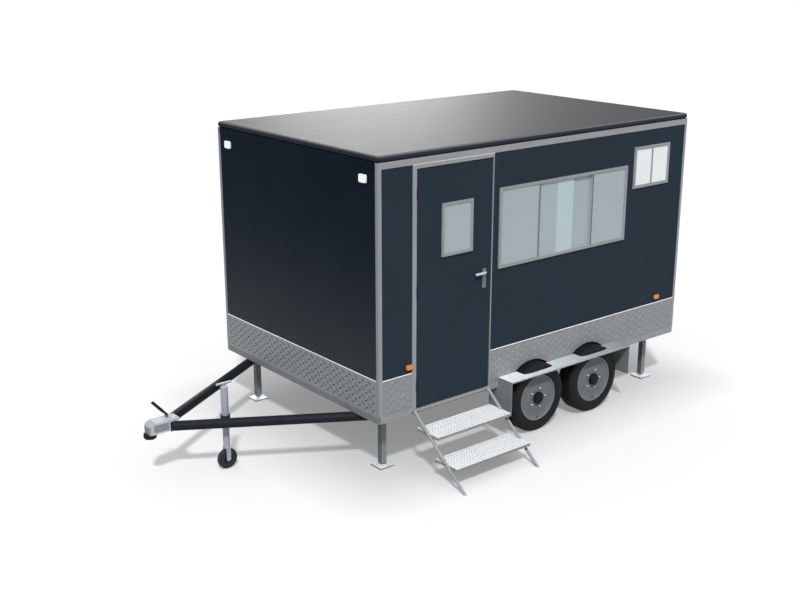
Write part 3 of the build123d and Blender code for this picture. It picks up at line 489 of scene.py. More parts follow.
def glazing():
    """Tinted panes, painted lighter where two panes overlap as a painted reflection; those of the small window are
    obscured and paler.
    """
    look = Look("clear_glass", 0.08, specular=0.5)
    small_start = solid_boxes("window_frames")[1][0].x
    panes = solid_boxes("window_glass")
    along = look.axis("X")
    pale = look.maths("GREATER_THAN", along, small_start)
    doubled = look.within(along, panes[2][0].x, panes[1][1].x)
    clear = look.mottle(lit(163, 175, 179, GLASS_LIGHT), 0.03, 1.2)
    # Painted reflection: lighter where two panes overlap
    overlap_reflection = look.mottle(lit(178, 196, 203, GLASS_LIGHT), 0.02, 1.2)
    obscured = look.mottle(lit(236, 242, 243), 0.02, 40.0)
    look.colour(look.blend(pale, look.blend(doubled, clear, overlap_reflection), obscured))
    look.set("Alpha", look.span(pale, 0.0, 1.0, GLASS_COVER, 1.0))
    look.bump(look.noise(3.0), 0.02, 0.002)


def lamp_lens(name, colour, glow=0.0):
    look = Look(name, 0.15, specular=0.5)
    look.set("Emission Color", colour)
    look.set("Emission Strength", glow)
    facets = look.cells(260.0)
    look.colour(look.ramp(facets, (0.0, toned(colour, 0.85)), (1.0, toned(colour, 1.15))))
    look.bump(facets, 0.25, 0.0006)


def zinc_casting(name, colour):
    look = Look(name, 0.5, 0.1, specular=0.3)
    # Painted shade: faces towards the drawbar are darker.
    look.colour(look.painted_light_by_facing(look.mottle(colour, 0.05, 30.0), 1.0, 0.4))
    look.vary_roughness(0.5, 0.08, 50.0)
    look.bump(look.noise(220.0), 0.2, 0.0008)


def solid_boxes(node):
    """Lowest and highest corners of a node's separate solids, in order of x."""
    mesh = bmesh.new()
    mesh.from_mesh(nodes[node].data)
    bmesh.ops.remove_doubles(mesh, verts=mesh.verts[:], dist=MERGE_DISTANCE)
    left = set(mesh.verts)
    boxes = []
    while left:
        group = [left.pop()]
        for vert in group:
            for edge in vert.link_edges:
                other = edge.other_vert(vert)
                if other in left:
                    left.remove(other)
                    group.append(other)
        places = [vert.co for vert in group]
        low = Vector([min(place[axis] for place in places) for axis in range(3)])
        high = Vector([max(place[axis] for place in places) for axis in range(3)])
        boxes.append((low, high))
    mesh.free()
    return sorted(boxes, key=lambda corners: tuple(corners[0]))


def levels(node):
    """Heights of a node's corners, from the lowest up."""
    return sorted({round(vert.co.z, 4) for vert in nodes[node].data.vertices})


def make_looks():
    """Every material of the part; up and front factors paint light and shade by which way a face looks: up
    brightens upward faces, front scales faces towards the drawbar.
    """
    painted_panel("charcoal_panel", lit(43, 53, 63))
    # Front end: a darker copy of the panel paint as painted shade, lighter towards the skirt as painted bounce
    # light
    painted_panel("shaded_front_panel", lit(11, 24, 35, FRONT_LIGHT), lit(56, 61, 65, FRONT_LIGHT))
    roof_sheet()
    drawn_metal("mill_aluminium", lit(148, 152, 155), ALONG_Z, front=0.8)
    drawn_metal("trim_along", lit(150, 152, 155), ALONG_X)
    drawn_metal("checker_plate", lit(138, 142, 144), ALONG_X)
    # Skirt bars: lighter than the plate on the sides as a painted highlight, darker on the front as painted shade
    drawn_metal("checker_bars", lit(154, 158, 160), ALONG_X, 0.4, 0.3)
    drawn_metal("shaded_front_bars", lit(74, 77, 79, FRONT_LIGHT), ALONG_X, 0.4, 0.1)
    # Near-white painted highlight for edges that catch the light
    drawn_metal("painted_highlight_edge", lit(245, 247, 249), ALONG_X, 0.4, 0.0)
    # Window frames: painted shade on the bars, and faces towards the drawbar painted lighter
    drawn_metal("frame_metal", lit(149, 151, 153), ALONG_Z, up=1.2, front=1.35, tint=painted_mullion_shade)
    galvanised("rail_metal", lit(150, 152, 155), front=0.6)
    galvanised("galvanised_steel", lit(150, 156, 160), up=1.4, front=0.7)
    # Guards: painted highlight along their tops, painted shade on their front ends
    galvanised("mudguard_sheet", lit(160, 165, 168), up=guard_painted_highlight, front=0.62)
    # Leg feet painted near white on top, a painted highlight
    galvanised("leg_zinc", lit(136, 141, 143), up=3.2, front=0.5)
    galvanised("jockey_zinc", lit(160, 168, 178), up=1.7, contrast=0.04)
    coated_steel("black_steel", lit(31, 35, 41), 0.55, 0.08)
    coated_steel("arch_steel", lit(40, 42, 44), 0.7, 0.2)
    coated_board()
    glazing()
    tyre_rubber()
    coated_steel("wheel_steel", lit(108, 112, 115), 0.5, 0.2, 0.05)
    coated_steel("rim_painted_highlight", lit(138, 142, 144), 0.4, 0.3)
    zinc_casting("cast_coupling", lit(190, 197, 203))
    zinc_casting("coupling_panel", lit(135, 142, 147))
    moulded_plastic("black_plastic", lit(24, 28, 32))
    moulded_plastic("hub_plastic", lit(15, 20, 23), 0.6, 0.15)
    moulded_plastic("window_gasket", lit(148, 157, 161), 0.7)
    moulded_plastic("rubber_seal", lit(70, 76, 78), 0.7)
    lamp_lens("amber_lens", lit(225, 130, 30))
    # The white lens glows a little as a painted highlight; the lamp is not lit.
    lamp_lens("white_lens", srgb(252, 252, 255), 0.2)
    lamp_lens("red_lens", srgb(190, 24, 20))
    drawn_metal("handle_metal", lit(200, 204, 208), ALONG_X, 0.3, 0.5)
    drawn_metal("plate_metal", lit(116, 116, 118), ALONG_Z, 0.4, 0.3)
    # Tread tops painted near white, a painted highlight
    drawn_metal("step_plate", lit(142, 144, 146), ALONG_X, 0.5, 0.0, up=3.1)
    coated_steel("step_shadow", lit(36, 38, 40), 0.7, 0.1)
    galvanised("stringer_zinc", lit(148, 154, 158))
    galvanised("zinc_bolts", lit(214, 218, 222), 0.3)


# Nodes whose look differs from the one named after their slot
LOOK_NODES = {
    # Front wall and end trims take the painted-shade copy of the panel paint
    "shaded_front_panel": ("front_wall", "end_top_trims"),
    "trim_along": ("side_top_trims", "door_head", "door_sill"),
    "frame_metal": ("window_frames", "door_window_frame"),
    "rail_metal": ("chassis_rails", "end_rails"),
    "stringer_zinc": ("step_stringers",),
    "mudguard_sheet": ("mudguards",),
    "arch_steel": ("wheel_arches",),
    "jockey_zinc": ("jockey_outer_tube", "jockey_inner_tube", "jockey_handle", "jockey_fork"),
    "black_steel": ("jockey_clamp", "drawbar_plate"),
    "hub_plastic": ("ball_cup",),
    "plate_metal": ("door_handle_plate",),
    "leg_zinc": [f"leg_{end}_{side}" for end, side in CORNERS],
}


def dress_nodes():
    """Give every node of the frame its procedural look."""
    own = {node: look for look, names in LOOK_NODES.items() for node in names}
    for subpart in frame["record"]["subparts"]:
        mesh = nodes[subpart["node"]].data
        mesh.materials.clear()
        mesh.materials.append(looks[own.get(subpart["node"], subpart["material_slot"])])


class Shape:
    """A mesh under construction, in metres in the part's frame."""

    def __init__(self):
        self.mesh = bmesh.new()

    def skin(self, points, loops):
        verts = [self.mesh.verts.new(point) for point in points]
        for loop in loops:
            self.mesh.faces.new([verts[index] for index in loop])

    def mound(self, base, crest, closed=False):
        """A pad from a base outline up to a crest outline, with its underside where closed."""
        count = len(base)
        loops = [(i, (i + 1) % count, count + (i + 1) % count, count + i) for i in range(count)]
        if closed:
            loops.append(tuple(reversed(range(count))))
        self.skin(list(base) + list(crest), loops + [tuple(range(count, 2 * count))])

    def box(self, low, high, softening=EDGE_SOFTENING):
        """A block with softened edges."""
        low, high = Vector(low), Vector(high)
        self.soft_block(Matrix.Translation((low + high) / 2), (high - low) / 2, softening)

    def soft_block(self, place, half, softening):
        """A block about a place, with every edge cut at a slant."""
        corners = {}
        for signs in itertools.product((-1, 1), repeat=3):
            for axis in range(3):
                point = [sign * (half[i] - (0 if i == axis else softening)) for i, sign in enumerate(signs)]
                corners[signs, axis] = self.mesh.verts.new(place @ Vector(point))
            self.mesh.faces.new([corners[signs, axis] for axis in range(3)])
        for axis in range(3):
            others = [other for other in range(3) if other != axis]
            for sign in (-1, 1):
                loop = []
                for pair in ((-1, -1), (1, -1), (1, 1), (-1, 1)):
                    loop.append(corners[self.signs(axis, sign, others, pair), axis])
                self.mesh.faces.new(loop)
            for pair in itertools.product((-1, 1), repeat=2):
                low_end = self.signs(axis, -1, others, pair)
                high_end = self.signs(axis, 1, others, pair)
                self.mesh.faces.new([corners[low_end, others[0]], corners[high_end, others[0]],
                                     corners[high_end, others[1]], corners[low_end, others[1]]])

    @staticmethod
    def signs(axis, sign, others, pair):
        found = [0, 0, 0]
        found[axis] = sign
        found[others[0]], found[others[1]] = pair
        return tuple(found)

    def lathe(self, centre, axis, profile, segments=ROUND_SEGMENTS, closed=False):
        """Turn (radius, distance along the axis) points round an axis."""
        axis = Vector(axis).normalized()
        side = axis.orthogonal().normalized()
        up = axis.cross(side)
        rings = []
        for radius, along in profile:
            middle = Vector(centre) + axis * along
            turns = [2 * math.pi * step / segments for step in range(segments)] if radius else [0.0]
            rings.append([
                self.mesh.verts.new(middle + (side * math.cos(turn) + up * math.sin(turn)) * radius)
                for turn in turns
            ])
        pairs = list(zip(rings, rings[1:])) + ([(rings[-1], rings[0])] if closed else [])
        for first, second in pairs:
            for step in range(segments):
                corners = (first[step % len(first)], first[(step + 1) % len(first)],
                           second[(step + 1) % len(second)], second[step % len(second)])
                corners = list(dict.fromkeys(corners))
                if len(corners) > 2:
                    self.mesh.faces.new(corners)
        if not closed:
            for ring in (rings[0], rings[-1]):
                if len(ring) > 2:
                    self.mesh.faces.new(ring)

    def knob(self, centre, axis, shares, radius, height, segments=ROUND_SEGMENTS):
        """A turned piece from shares of its radius and its height."""
        self.lathe(centre, axis, [(radius * wide, height * along) for wide, along in shares], segments)

    def rod(self, start, end, radius, segments=SMALL_SEGMENTS):
        """A round bar with softened ends."""
        start, end = Vector(start), Vector(end)
        length = (end - start).length
        soft = min(radius, length) / 4
        neck = radius - soft
        profile = ((0, 0), (neck, 0), (radius, soft), (radius, length - soft), (neck, length), (0, length))
        self.lathe(start, end - start, profile, segments)

    def rivet(self, centre, normal, radius=RIVET_RADIUS, height=RIVET_HEIGHT):
        """A domed head."""
        self.knob(centre, normal, RIVET_SHARES, radius, height, SMALL_SEGMENTS)

    def bolt(self, centre, normal, radius=BOLT_RADIUS, height=BOLT_HEIGHT):
        """A washer with a six-sided head."""
        washer = height * 0.22
        rim = ((radius * 1.35, 0), (radius * 1.3, washer), (0, washer))
        self.lathe(centre, normal, rim, SMALL_SEGMENTS * 2)
        head = Vector(centre) + Vector(normal).normalized() * washer
        self.knob(head, normal, BOLT_HEAD_SHARES, radius, height, HEX_SIDES)

    def ring(self, low, high, axis, width, softening=0.0006):
        """Four bars round the rim of a thin box that faces the given axis."""
        along, up = [other for other in range(3) if other != axis]
        for span, step in ((along, up), (up, along)):
            for end in (low, high):
                bar_low, bar_high = low.copy(), high.copy()
                if end is low:
                    bar_high[step] = low[step] + width
                else:
                    bar_low[step] = high[step] - width
                if span == up:
                    bar_low[up] += width
                    bar_high[up] -= width
                self.box(bar_low, bar_high, softening)

    def piece(self, name, body, look, replaces=()):
        bmesh.ops.recalc_face_normals(self.mesh, faces=self.mesh.faces[:])
        data = bpy.data.meshes.new(name)
        self.mesh.to_mesh(data)
        self.mesh.free()
        data.polygons.foreach_set("use_smooth", [True] * len(data.polygons))
        data.set_sharp_from_angle(angle=SHARP_ANGLE)
        data.materials.append(looks[look])
        made = bpy.data.objects.new(name, data)
        bpy.context.scene.collection.objects.link(made)
        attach(made, body)
        if replaces:
            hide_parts(*replaces)
        return made


body_low, body_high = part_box("corner_posts")
body_middle = (body_low + body_high) / 2


def unit(axis, sign=1):
    """A vector of length one along an axis."""
    return Vector([sign if other == axis else 0 for other in range(3)])


def outward(low, high):
    """Thin axis of a plate on the body, its outward direction and the place of its outer face."""
    size = high - low
    axis = 0 if size.x < size.y else 1
    side = -1 if (low + high)[axis] / 2 < body_middle[axis] else 1
    return axis, unit(axis, side), (low if side < 0 else high)[axis]


def wheel_centres():
    boxes = [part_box(f"tyre_{end}_door_side") for end in ("front", "rear")]
    return [(low + high) / 2 for low, high in boxes]


def checker_bars():
    """Raised bars of the skirts in staggered columns that lean by turns, clear of the wheel arches."""
    front = Shape()
    others = Shape()
    wheels = wheel_centres()
    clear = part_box("wheel_arches")[1].z - wheels[0].z + BAR_SIDE_LENGTH / 2
    for low, high in solid_boxes("skirt_plates"):
        axis, normal, face = outward(low, high)
        along_axis = 1 - axis
        along = unit(along_axis)
        pitch = BAR_SIDE_PITCH if axis else BAR_END_PITCH
        bar = BAR_SIDE_LENGTH if axis else BAR_END_LENGTH
        length = high[along_axis] - low[along_axis] - bar * math.cos(BAR_LEAN) - 2 * BAR_MARGIN
        height = high.z - low.z - bar * math.sin(BAR_LEAN) - 2 * BAR_MARGIN
        columns = int(length / pitch) + 1
        rows = int(height / BAR_PITCH_UP + 0.5)
        first = (low[along_axis] + high[along_axis] - (columns - 1) * pitch) / 2
        lowest = (low.z + high.z - (rows - 0.5) * BAR_PITCH_UP) / 2
        for column in range(columns):
            odd = column % 2
            long_way = along * math.cos(BAR_LEAN) * (1 if odd else -1) + Vector((0, 0, math.sin(BAR_LEAN)))
            cross_way = normal.cross(long_way)
            for row in range(rows):
                centre = Vector((0, 0, lowest + (row + odd / 2) * BAR_PITCH_UP))
                centre[axis] = face
                centre[along_axis] = first + column * pitch
                offsets = [math.hypot(centre.x - wheel.x, centre.z - wheel.z) for wheel in wheels]
                if axis == 1 and min(offsets) < clear:
                    continue
                base = [centre + long_way * bar * long + cross_way * BAR_WIDTH * wide
                        for long, wide in BAR_OUTLINE_SHARES]
                crest = [centre + (point - centre) * BAR_CREST_SHARE + normal * BAR_HEIGHT for point in base]
                # Front bars take the painted-shade look, the rest the painted-highlight look
                (front if normal.x < 0 else others).mound(base, crest)
    front.piece("front_checker_bars", "cabin", "shaded_front_bars")
    others.piece("skirt_checker_bars", "cabin", "checker_bars")


def skirt_caps():
    """Folded edge along the top of the skirts, coloured near white as a painted highlight."""
    shape = Shape()
    for low, high in solid_boxes("skirt_plates"):
        axis, normal, face = outward(low, high)
        strip_low, strip_high = low.copy(), high.copy()
        strip_low.z = high.z - CAP_HEIGHT / 2
        strip_high.z = high.z + CAP_HEIGHT / 2
        strip_low[axis] = min(face, face + normal[axis] * CAP_PROUD)
        strip_high[axis] = max(face, face + normal[axis] * CAP_PROUD)
        shape.box(strip_low, strip_high, CAP_PROUD * CAP_SOFT_SHARE)
    shape.piece("skirt_top_caps", "cabin", "painted_highlight_edge")


def clear_spans(low, high, gaps):
    """Stretches between two ends that lie outside the gaps."""
    spans = []
    for gap_low, gap_high in sorted(gaps):
        if gap_low > low:
            spans.append((low, gap_low))
        low = max(low, gap_high)
    return spans + [(low, high)]


def base_band():
    """Strip round the rails, flush with the skirts, open at the doorway and the wheel arches."""
    shape = Shape()
    low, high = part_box("end_rails")
    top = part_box("skirt_plates")[0].z
    for inner, face in ((low.x, body_low.x), (high.x, body_high.x)):
        shape.box((min(face, inner), low.y, low.z), (max(face, inner), high.y, top), BAND_EDGE)
    sill_low, sill_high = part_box("door_sill")
    arches = {(arch_low.x, arch_high.x) for arch_low, arch_high in solid_boxes("wheel_arches")}
    for inner, face, gaps in ((low.y, body_low.y, arches | {(sill_low.x, sill_high.x)}),
                              (high.y, body_high.y, arches)):
        for start, end in clear_spans(low.x, high.x, gaps):
            shape.box((start, min(face, inner), low.z), (end, max(face, inner), top), BAND_EDGE)
    shape.piece("base_band", "cabin", "rail_metal")


def head_bead():
    """Joint line between the door's head and the trim above it, coloured near white as a painted highlight."""
    shape = Shape()
    low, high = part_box("door_head")
    shape.box((low.x, low.y - CAP_PROUD * CAP_SOFT_SHARE, high.z - BEAD_HEIGHT / 2),
              (high.x, low.y, high.z + BEAD_HEIGHT / 2), CAP_PROUD * BEAD_SOFT_SHARE)
    shape.piece("door_head_bead", "cabin", "painted_highlight_edge")


def spread(low, high, pitch):
    """Even places between two ends, about a pitch apart."""
    count = max(1, round((high - low) / pitch))
    return [low + (high - low) * (step + 0.5) / count for step in range(count)]


def trim_rivets():
    """Domed rivets along the top trims and the corner posts."""
    shape = Shape()
    dark = Shape()
    for node, made in (("side_top_trims", shape), ("end_top_trims", dark)):
        for low, high in solid_boxes(node):
            axis, normal, face = outward(low, high)
            for place in spread(low[1 - axis], high[1 - axis], RIVET_PITCH):
                centre = Vector((0, 0, (low.z + high.z) / 2))
                centre[axis] = face
                centre[1 - axis] = place
                made.rivet(centre, normal)
    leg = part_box("side_top_trims")[0].x - body_low.x
    ends = {-1: body_low, 1: body_high}
    for axis, side, end in itertools.product((0, 1), (-1, 1), (-1, 1)):
        centre = Vector((0, 0, 0))
        centre[axis] = ends[side][axis]
        centre[1 - axis] = ends[end][1 - axis] - end * leg * POST_RIVET_SHARE
        for level in spread(body_low.z, body_high.z, RIVET_PITCH):
            centre.z = level
            shape.rivet(centre, unit(axis, side))
    shape.piece("trim_rivets", "cabin", "mill_aluminium")
    # Rivets on the end trims take the painted-shade copy of the panel paint
    dark.piece("end_trim_rivets", "cabin", "shaded_front_panel")


def glass_gaskets(node, name, body):
    """Soft strips that hold each pane on its outer side."""
    shape = Shape()
    panes = solid_boxes(node)
    outer = panes[0][0].y
    for low, high in panes:
        if low.y > outer + GASKET_DEPTH:
            continue
        strip_low, strip_high = low.copy(), high.copy()
        strip_high.y = low.y
        strip_low.y = low.y - GASKET_DEPTH
        shape.ring(strip_low, strip_high, 1, GASKET_WIDTH)
    shape.piece(name, body, "window_gasket")


def door_seal():
    """Strip behind the leaf, against the posts and the head."""
    shape = Shape()
    leaf_low, leaf_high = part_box("door_leaf")
    posts = solid_boxes("door_jambs")
    left, right = posts[0][1].x, posts[1][0].x
    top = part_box("door_head")[0].z
    near, deep = leaf_high.y + SEAL_GAP, posts[0][1].y
    bottom = leaf_low.z
    shape.box((left, near, bottom), (left + SEAL_WIDTH, deep, top))
    shape.box((right - SEAL_WIDTH, near, bottom), (right, deep, top))
    shape.box((left + SEAL_WIDTH, near, top - SEAL_WIDTH), (right - SEAL_WIDTH, deep, top))
    shape.piece("door_seal", "cabin", "rubber_seal")


def door_furniture():
    """Lock barrel with its keyway, lever rose and screws on the handle plate."""
    low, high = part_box("door_handle_plate")
    lever = Vector(joints["door_lever_turn"]["pos_m"])
    face = low.y
    out = Vector((0, -1, 0))
    barrel = Vector((lever.x, face, lever.z - LOCK_BELOW_LEVER))
    shape = Shape()
    shape.knob(barrel, out, LOCK_SHARES, LOCK_RADIUS, LOCK_DEPTH)
    width = LOCK_RADIUS * 0.55
    shape.box((barrel.x - width, face - LOCK_DEPTH * 0.9, barrel.z - LOCK_RADIUS * 2.2),
              (barrel.x + width, face, barrel.z))
    for level in (low.z + SCREW_RADIUS * 3, high.z - SCREW_RADIUS * 3):
        shape.rivet((lever.x, face, level), out, SCREW_RADIUS, RIVET_HEIGHT)
    lever_low, lever_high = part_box("door_lever")
    inner = (lever_high.z - lever_low.z) / 2 + SEAL_GAP
    rose = ((inner, 0), (ROSE_RADIUS, 0), (ROSE_RADIUS, ROSE_DEPTH * 0.7), (ROSE_RADIUS * 0.9, ROSE_DEPTH),
            (inner, ROSE_DEPTH))
    shape.lathe((lever.x, face, lever.z), out, rose, closed=True)
    shape.piece("door_lock", "door", "plate_metal")
    slot = Shape()
    slot.box((barrel.x - KEYWAY[0] / 2, face - LOCK_DEPTH - SEAL_GAP / 2, barrel.z - KEYWAY[1] / 2),
             (barrel.x + KEYWAY[0] / 2, face - LOCK_DEPTH * 0.9, barrel.z + KEYWAY[1] / 2), SEAL_GAP / 4)
    slot.piece("door_keyway", "door", "black_plastic")


def lamp_details():
    """Rubber bases round the lamps and upright ribs on their lenses."""
    bases = Shape()
    lenses = {"side_markers": "amber_lens", "front_markers": "white_lens", "rear_markers": "red_lens"}
    for node, look in lenses.items():
        ribs = Shape()
        for low, high in solid_boxes(node):
            size = high - low
            axis, normal, front = outward(low, high)
            side = normal[axis]
            wall = (high if side < 0 else low)[axis]
            base_low = low - Vector((LAMP_BASE_MARGIN,) * 3)
            base_high = high + Vector((LAMP_BASE_MARGIN,) * 3)
            base_low[axis], base_high[axis] = sorted((wall, wall + side * LAMP_BASE_DEPTH))
            bases.box(base_low, base_high, LAMP_BASE_MARGIN * 0.6)
            across = 1 - axis
            for place in spread(low[across], high[across], size[across] / LAMP_RIBS):
                rib_low, rib_high = low.copy(), high.copy()
                rib_low[across] = place - LAMP_RIB_WIDTH / 2
                rib_high[across] = place + LAMP_RIB_WIDTH / 2
                rib_low.z += size.z * LAMP_RIB_END_SHARE
                rib_high.z -= size.z * LAMP_RIB_END_SHARE
                proud = 0.0 if node == "rear_markers" else SEAL_GAP
                back = front - side * size[axis] * LAMP_RIB_DEPTH_SHARE
                rib_low[axis], rib_high[axis] = sorted((back, front + side * proud))
                ribs.box(rib_low, rib_high, SEAL_GAP * 0.6)
        ribs.piece(f"{node}_ribs", "cabin", look)
    bases.piece("lamp_bases", "cabin", "hub_plastic")


def wheel_details(end, side):
    """Nuts, hub cap, valve and rim ring on the outer face of one wheel."""
    place = f"{end}_{side}"
    body = f"wheel_{place}"
    low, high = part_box(body)
    out = Vector((0, -1, 0)) if side == "door_side" else Vector((0, 1, 0))
    centre = (low + high) / 2
    centre.y = low.y if side == "door_side" else high.y
    radius = (high.x - low.x) / 2
    width = high.y - low.y
    disc = centre - out * width * DISC_SET_BACK_SHARE
    metal = Shape()
    for step in range(NUT_COUNT):
        turn = 2 * math.pi * step / NUT_COUNT
        nut = disc + Vector((math.cos(turn), 0, math.sin(turn))) * NUT_CIRCLE
        metal.knob(nut, out, NUT_SHARES, NUT_RADIUS, NUT_HEIGHT, HEX_SIDES)
    metal.piece(f"wheel_nuts_{place}", body, "zinc_bolts")
    cap = Shape()
    seat = centre - out * width * CAP_SET_BACK_SHARE
    cap.knob(seat, out, HUB_CAP_SHARES, HUB_CAP_RADIUS, HUB_CAP_HEIGHT)
    cap.piece(f"hub_cap_{place}", body, "hub_plastic")
    valve = Shape()
    foot = disc + Vector((0, 0, -radius * 0.88))
    tip = foot + out * VALVE_LENGTH * 0.7 + Vector((0, 0, VALVE_LENGTH * 0.5))
    valve.rod(foot, tip, VALVE_RADIUS)
    valve.piece(f"tyre_valve_{place}", body, "rubber_seal")
    # A lighter ring at the rim's edge, a painted highlight
    ring = Shape()
    outer = radius - RIM_RING_WIDTH * 0.4
    inner = outer - RIM_RING_WIDTH
    ring.lathe(centre, out, ((outer, -RIM_RING_WIDTH), (outer, 0), (inner, 0), (inner, -RIM_RING_WIDTH)),
               ROUND_SEGMENTS * 3, closed=True)
    ring.piece(f"rim_ring_{place}", body, "rim_painted_highlight")


def shoulder_curve(tyre, centre, face, rise):
    """Half-lengths of a tyre's section at a height over its centre, by depth behind its outer face."""
    rims = {}
    for vert in nodes[tyre].data.vertices:
        depth = round(abs(vert.co.y - face), 4)
        rims[depth] = max(rims.get(depth, 0.0), math.hypot(vert.co.x - centre.x, vert.co.z - centre.z))
    curve = []
    for depth, radius in sorted(rims.items()):
        if radius > rise:
            reach = math.sqrt(radius ** 2 - rise ** 2)
            if not curve or reach > curve[-1][0]:
                curve.append((reach, depth))
    return curve


def slot_lips():
    """Lips that close the guards' slots round the shoulders of the tyres."""
    shape = Shape()
    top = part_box("mudguards")[1].z
    for end, side in CORNERS:
        tyre = f"tyre_{end}_{side}"
        low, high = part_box(tyre)
        centre = (low + high) / 2
        out = -1 if side == "door_side" else 1
        face, wall = (low.y, body_low.y) if out < 0 else (high.y, body_high.y)
        corners = [vert.co for vert in nodes["mudguards"].data.vertices
                   if abs(vert.co.z - top) < LIP_GAP and abs(vert.co.x - centre.x) < (high.x - low.x) / 2
                   and vert.co.y * out > wall * out - LIP_GAP]
        half = max(abs(corner.x - centre.x) for corner in corners)
        edge = max((corner.y for corner in corners), key=lambda level: level * out)
        inner = [(reach + LIP_GAP, face + out * (LIP_GAP - depth))
                 for reach, depth in shoulder_curve(tyre, centre, face, top - centre.z)]
        inner.append((inner[-1][0], wall))
        right = [(half, edge), (half, wall)] + inner[::-1]
        outline = right + [(-x, y) for x, y in right[::-1]]
        base = [Vector((centre.x + x, y, top - LIP_THICKNESS)) for x, y in outline]
        shape.mound(base, [point + Vector((0, 0, LIP_THICKNESS)) for point in base], closed=True)
    shape.piece("guard_slot_lips", "cabin", "mudguard_sheet")


def coupling_details():
    """Bolts on the coupling's flange and lugs, panels in its sides and a ribbed sleeve on its lever."""
    low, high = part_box("coupling_head")
    plate_low, plate_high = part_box("drawbar_plate")
    lever_low, lever_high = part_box("coupling_lever")
    pivot = Vector(joints["coupling_lever_lift"]["pos_m"])
    metal = Shape()
    top = pivot.z - LEVER_ABOVE_HEAD
    half = (high.y - low.y) / 2
    small = BOLT_RADIUS * SMALL_BOLT_SHARE
    for x in spread(plate_high.x, high.x, (high.x - plate_high.x) / 2):
        for side in (-1, 1):
            metal.bolt((x, pivot.y + side * half * FLANGE_BOLT_SHARE, top), (0, 0, 1), small)
    for side in (-1, 1):
        metal.bolt((pivot.x, pivot.y + side * (lever_high.y - pivot.y + LUG_WIDTH), pivot.z), (0, side, 0),
                   small)
    metal.piece("coupling_bolts", "cabin", "cast_coupling")
    panels = Shape()
    for side in (-1, 1):
        floor = pivot.y + side * (half - POCKET_DEPTH)
        near = floor + side * POCKET_DEPTH * 0.4
        panels.box((low.x + HEAD_NOSE_ROUND + POCKET_MARGIN, min(floor, near), low.z + POCKET_MARGIN),
                   (plate_low.x - POCKET_MARGIN, max(floor, near), top - POCKET_MARGIN - POCKET_DEPTH),
                   POCKET_DEPTH * 0.1)
    panels.piece("coupling_side_panels", "cabin", "coupling_panel")
    sleeve = Shape()
    tip = Vector((lever_low.x, pivot.y, lever_high.z))
    along = (tip - pivot).normalized()
    length = (tip - pivot).length
    half_width = (lever_high.y - lever_low.y) / 2 + GRIP_WALL
    start = length * GRIP_START_SHARE
    turn = Matrix.Rotation(-math.atan2(along.z, along.x), 4, "Y")
    for step in range(GRIP_RINGS):
        span = (length - start) / GRIP_RINGS
        middle = pivot + along * (start + span * (step + 0.5))
        ring = Vector((span * 0.47, half_width, GRIP_THICKNESS / 2))
        sleeve.soft_block(Matrix.Translation(middle) @ turn, ring, GRIP_EDGE)
    sleeve.piece("coupling_lever_sleeve", "coupling_lever", "hub_plastic")


def jockey_details():
    """Hub plates and axle nuts of the jockey wheel, and the clamp's screw."""
    centre = Vector(joints["jockey_wheel_spin"]["pos_m"])
    low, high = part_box("jockey_wheel")
    half = (high.y - low.y) / 2
    hub = Shape()
    for side in (-1, 1):
        face = centre + Vector((0, side * (half - JOCKEY_HUB_INSET), 0))
        hub.lathe(face, (0, side, 0), (
            (JOCKEY_HUB_BORE, 0), (JOCKEY_HUB_RADIUS, 0), (JOCKEY_HUB_RADIUS * 0.96, JOCKEY_HUB_DEPTH * 0.7),
            (JOCKEY_HUB_RADIUS * 0.5, JOCKEY_HUB_DEPTH), (JOCKEY_HUB_BORE, JOCKEY_HUB_DEPTH)), closed=True)
    hub.piece("jockey_hub", "jockey_wheel", "hub_plastic")
    fork_low, fork_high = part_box("jockey_fork")
    nuts = Shape()
    for side, level in ((-1, fork_low.y), (1, fork_high.y)):
        nuts.bolt((centre.x, level, centre.z), (0, side, 0), BOLT_RADIUS, BOLT_HEIGHT)
    nuts.piece("jockey_axle_nuts", "jockey_fork", "jockey_zinc")
    clamp_low, clamp_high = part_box("jockey_clamp")
    tube_low, tube_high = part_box("jockey_outer_tube")
    axis = (tube_low + tube_high) / 2
    level = (clamp_low.z + clamp_high.z) / 2
    inner = Vector((axis.x, clamp_high.y - CLAMP_SCREW_INSET, level))
    outer = inner + Vector((0, CLAMP_SCREW_LENGTH, 0))
    screw = Shape()
    screw.rod(inner, outer, CLAMP_SCREW_RADIUS)
    cross = Vector((0, 0, CLAMP_BAR_LENGTH / 2))
    screw.rod(outer - cross, outer + cross, CLAMP_SCREW_RADIUS * 0.8)
    screw.bolt(inner, (0, 1, 0), CLAMP_SCREW_RADIUS * 2, BOLT_HEIGHT * 1.6)
    screw.piece("jockey_clamp_screw", "cabin", "zinc_bolts")


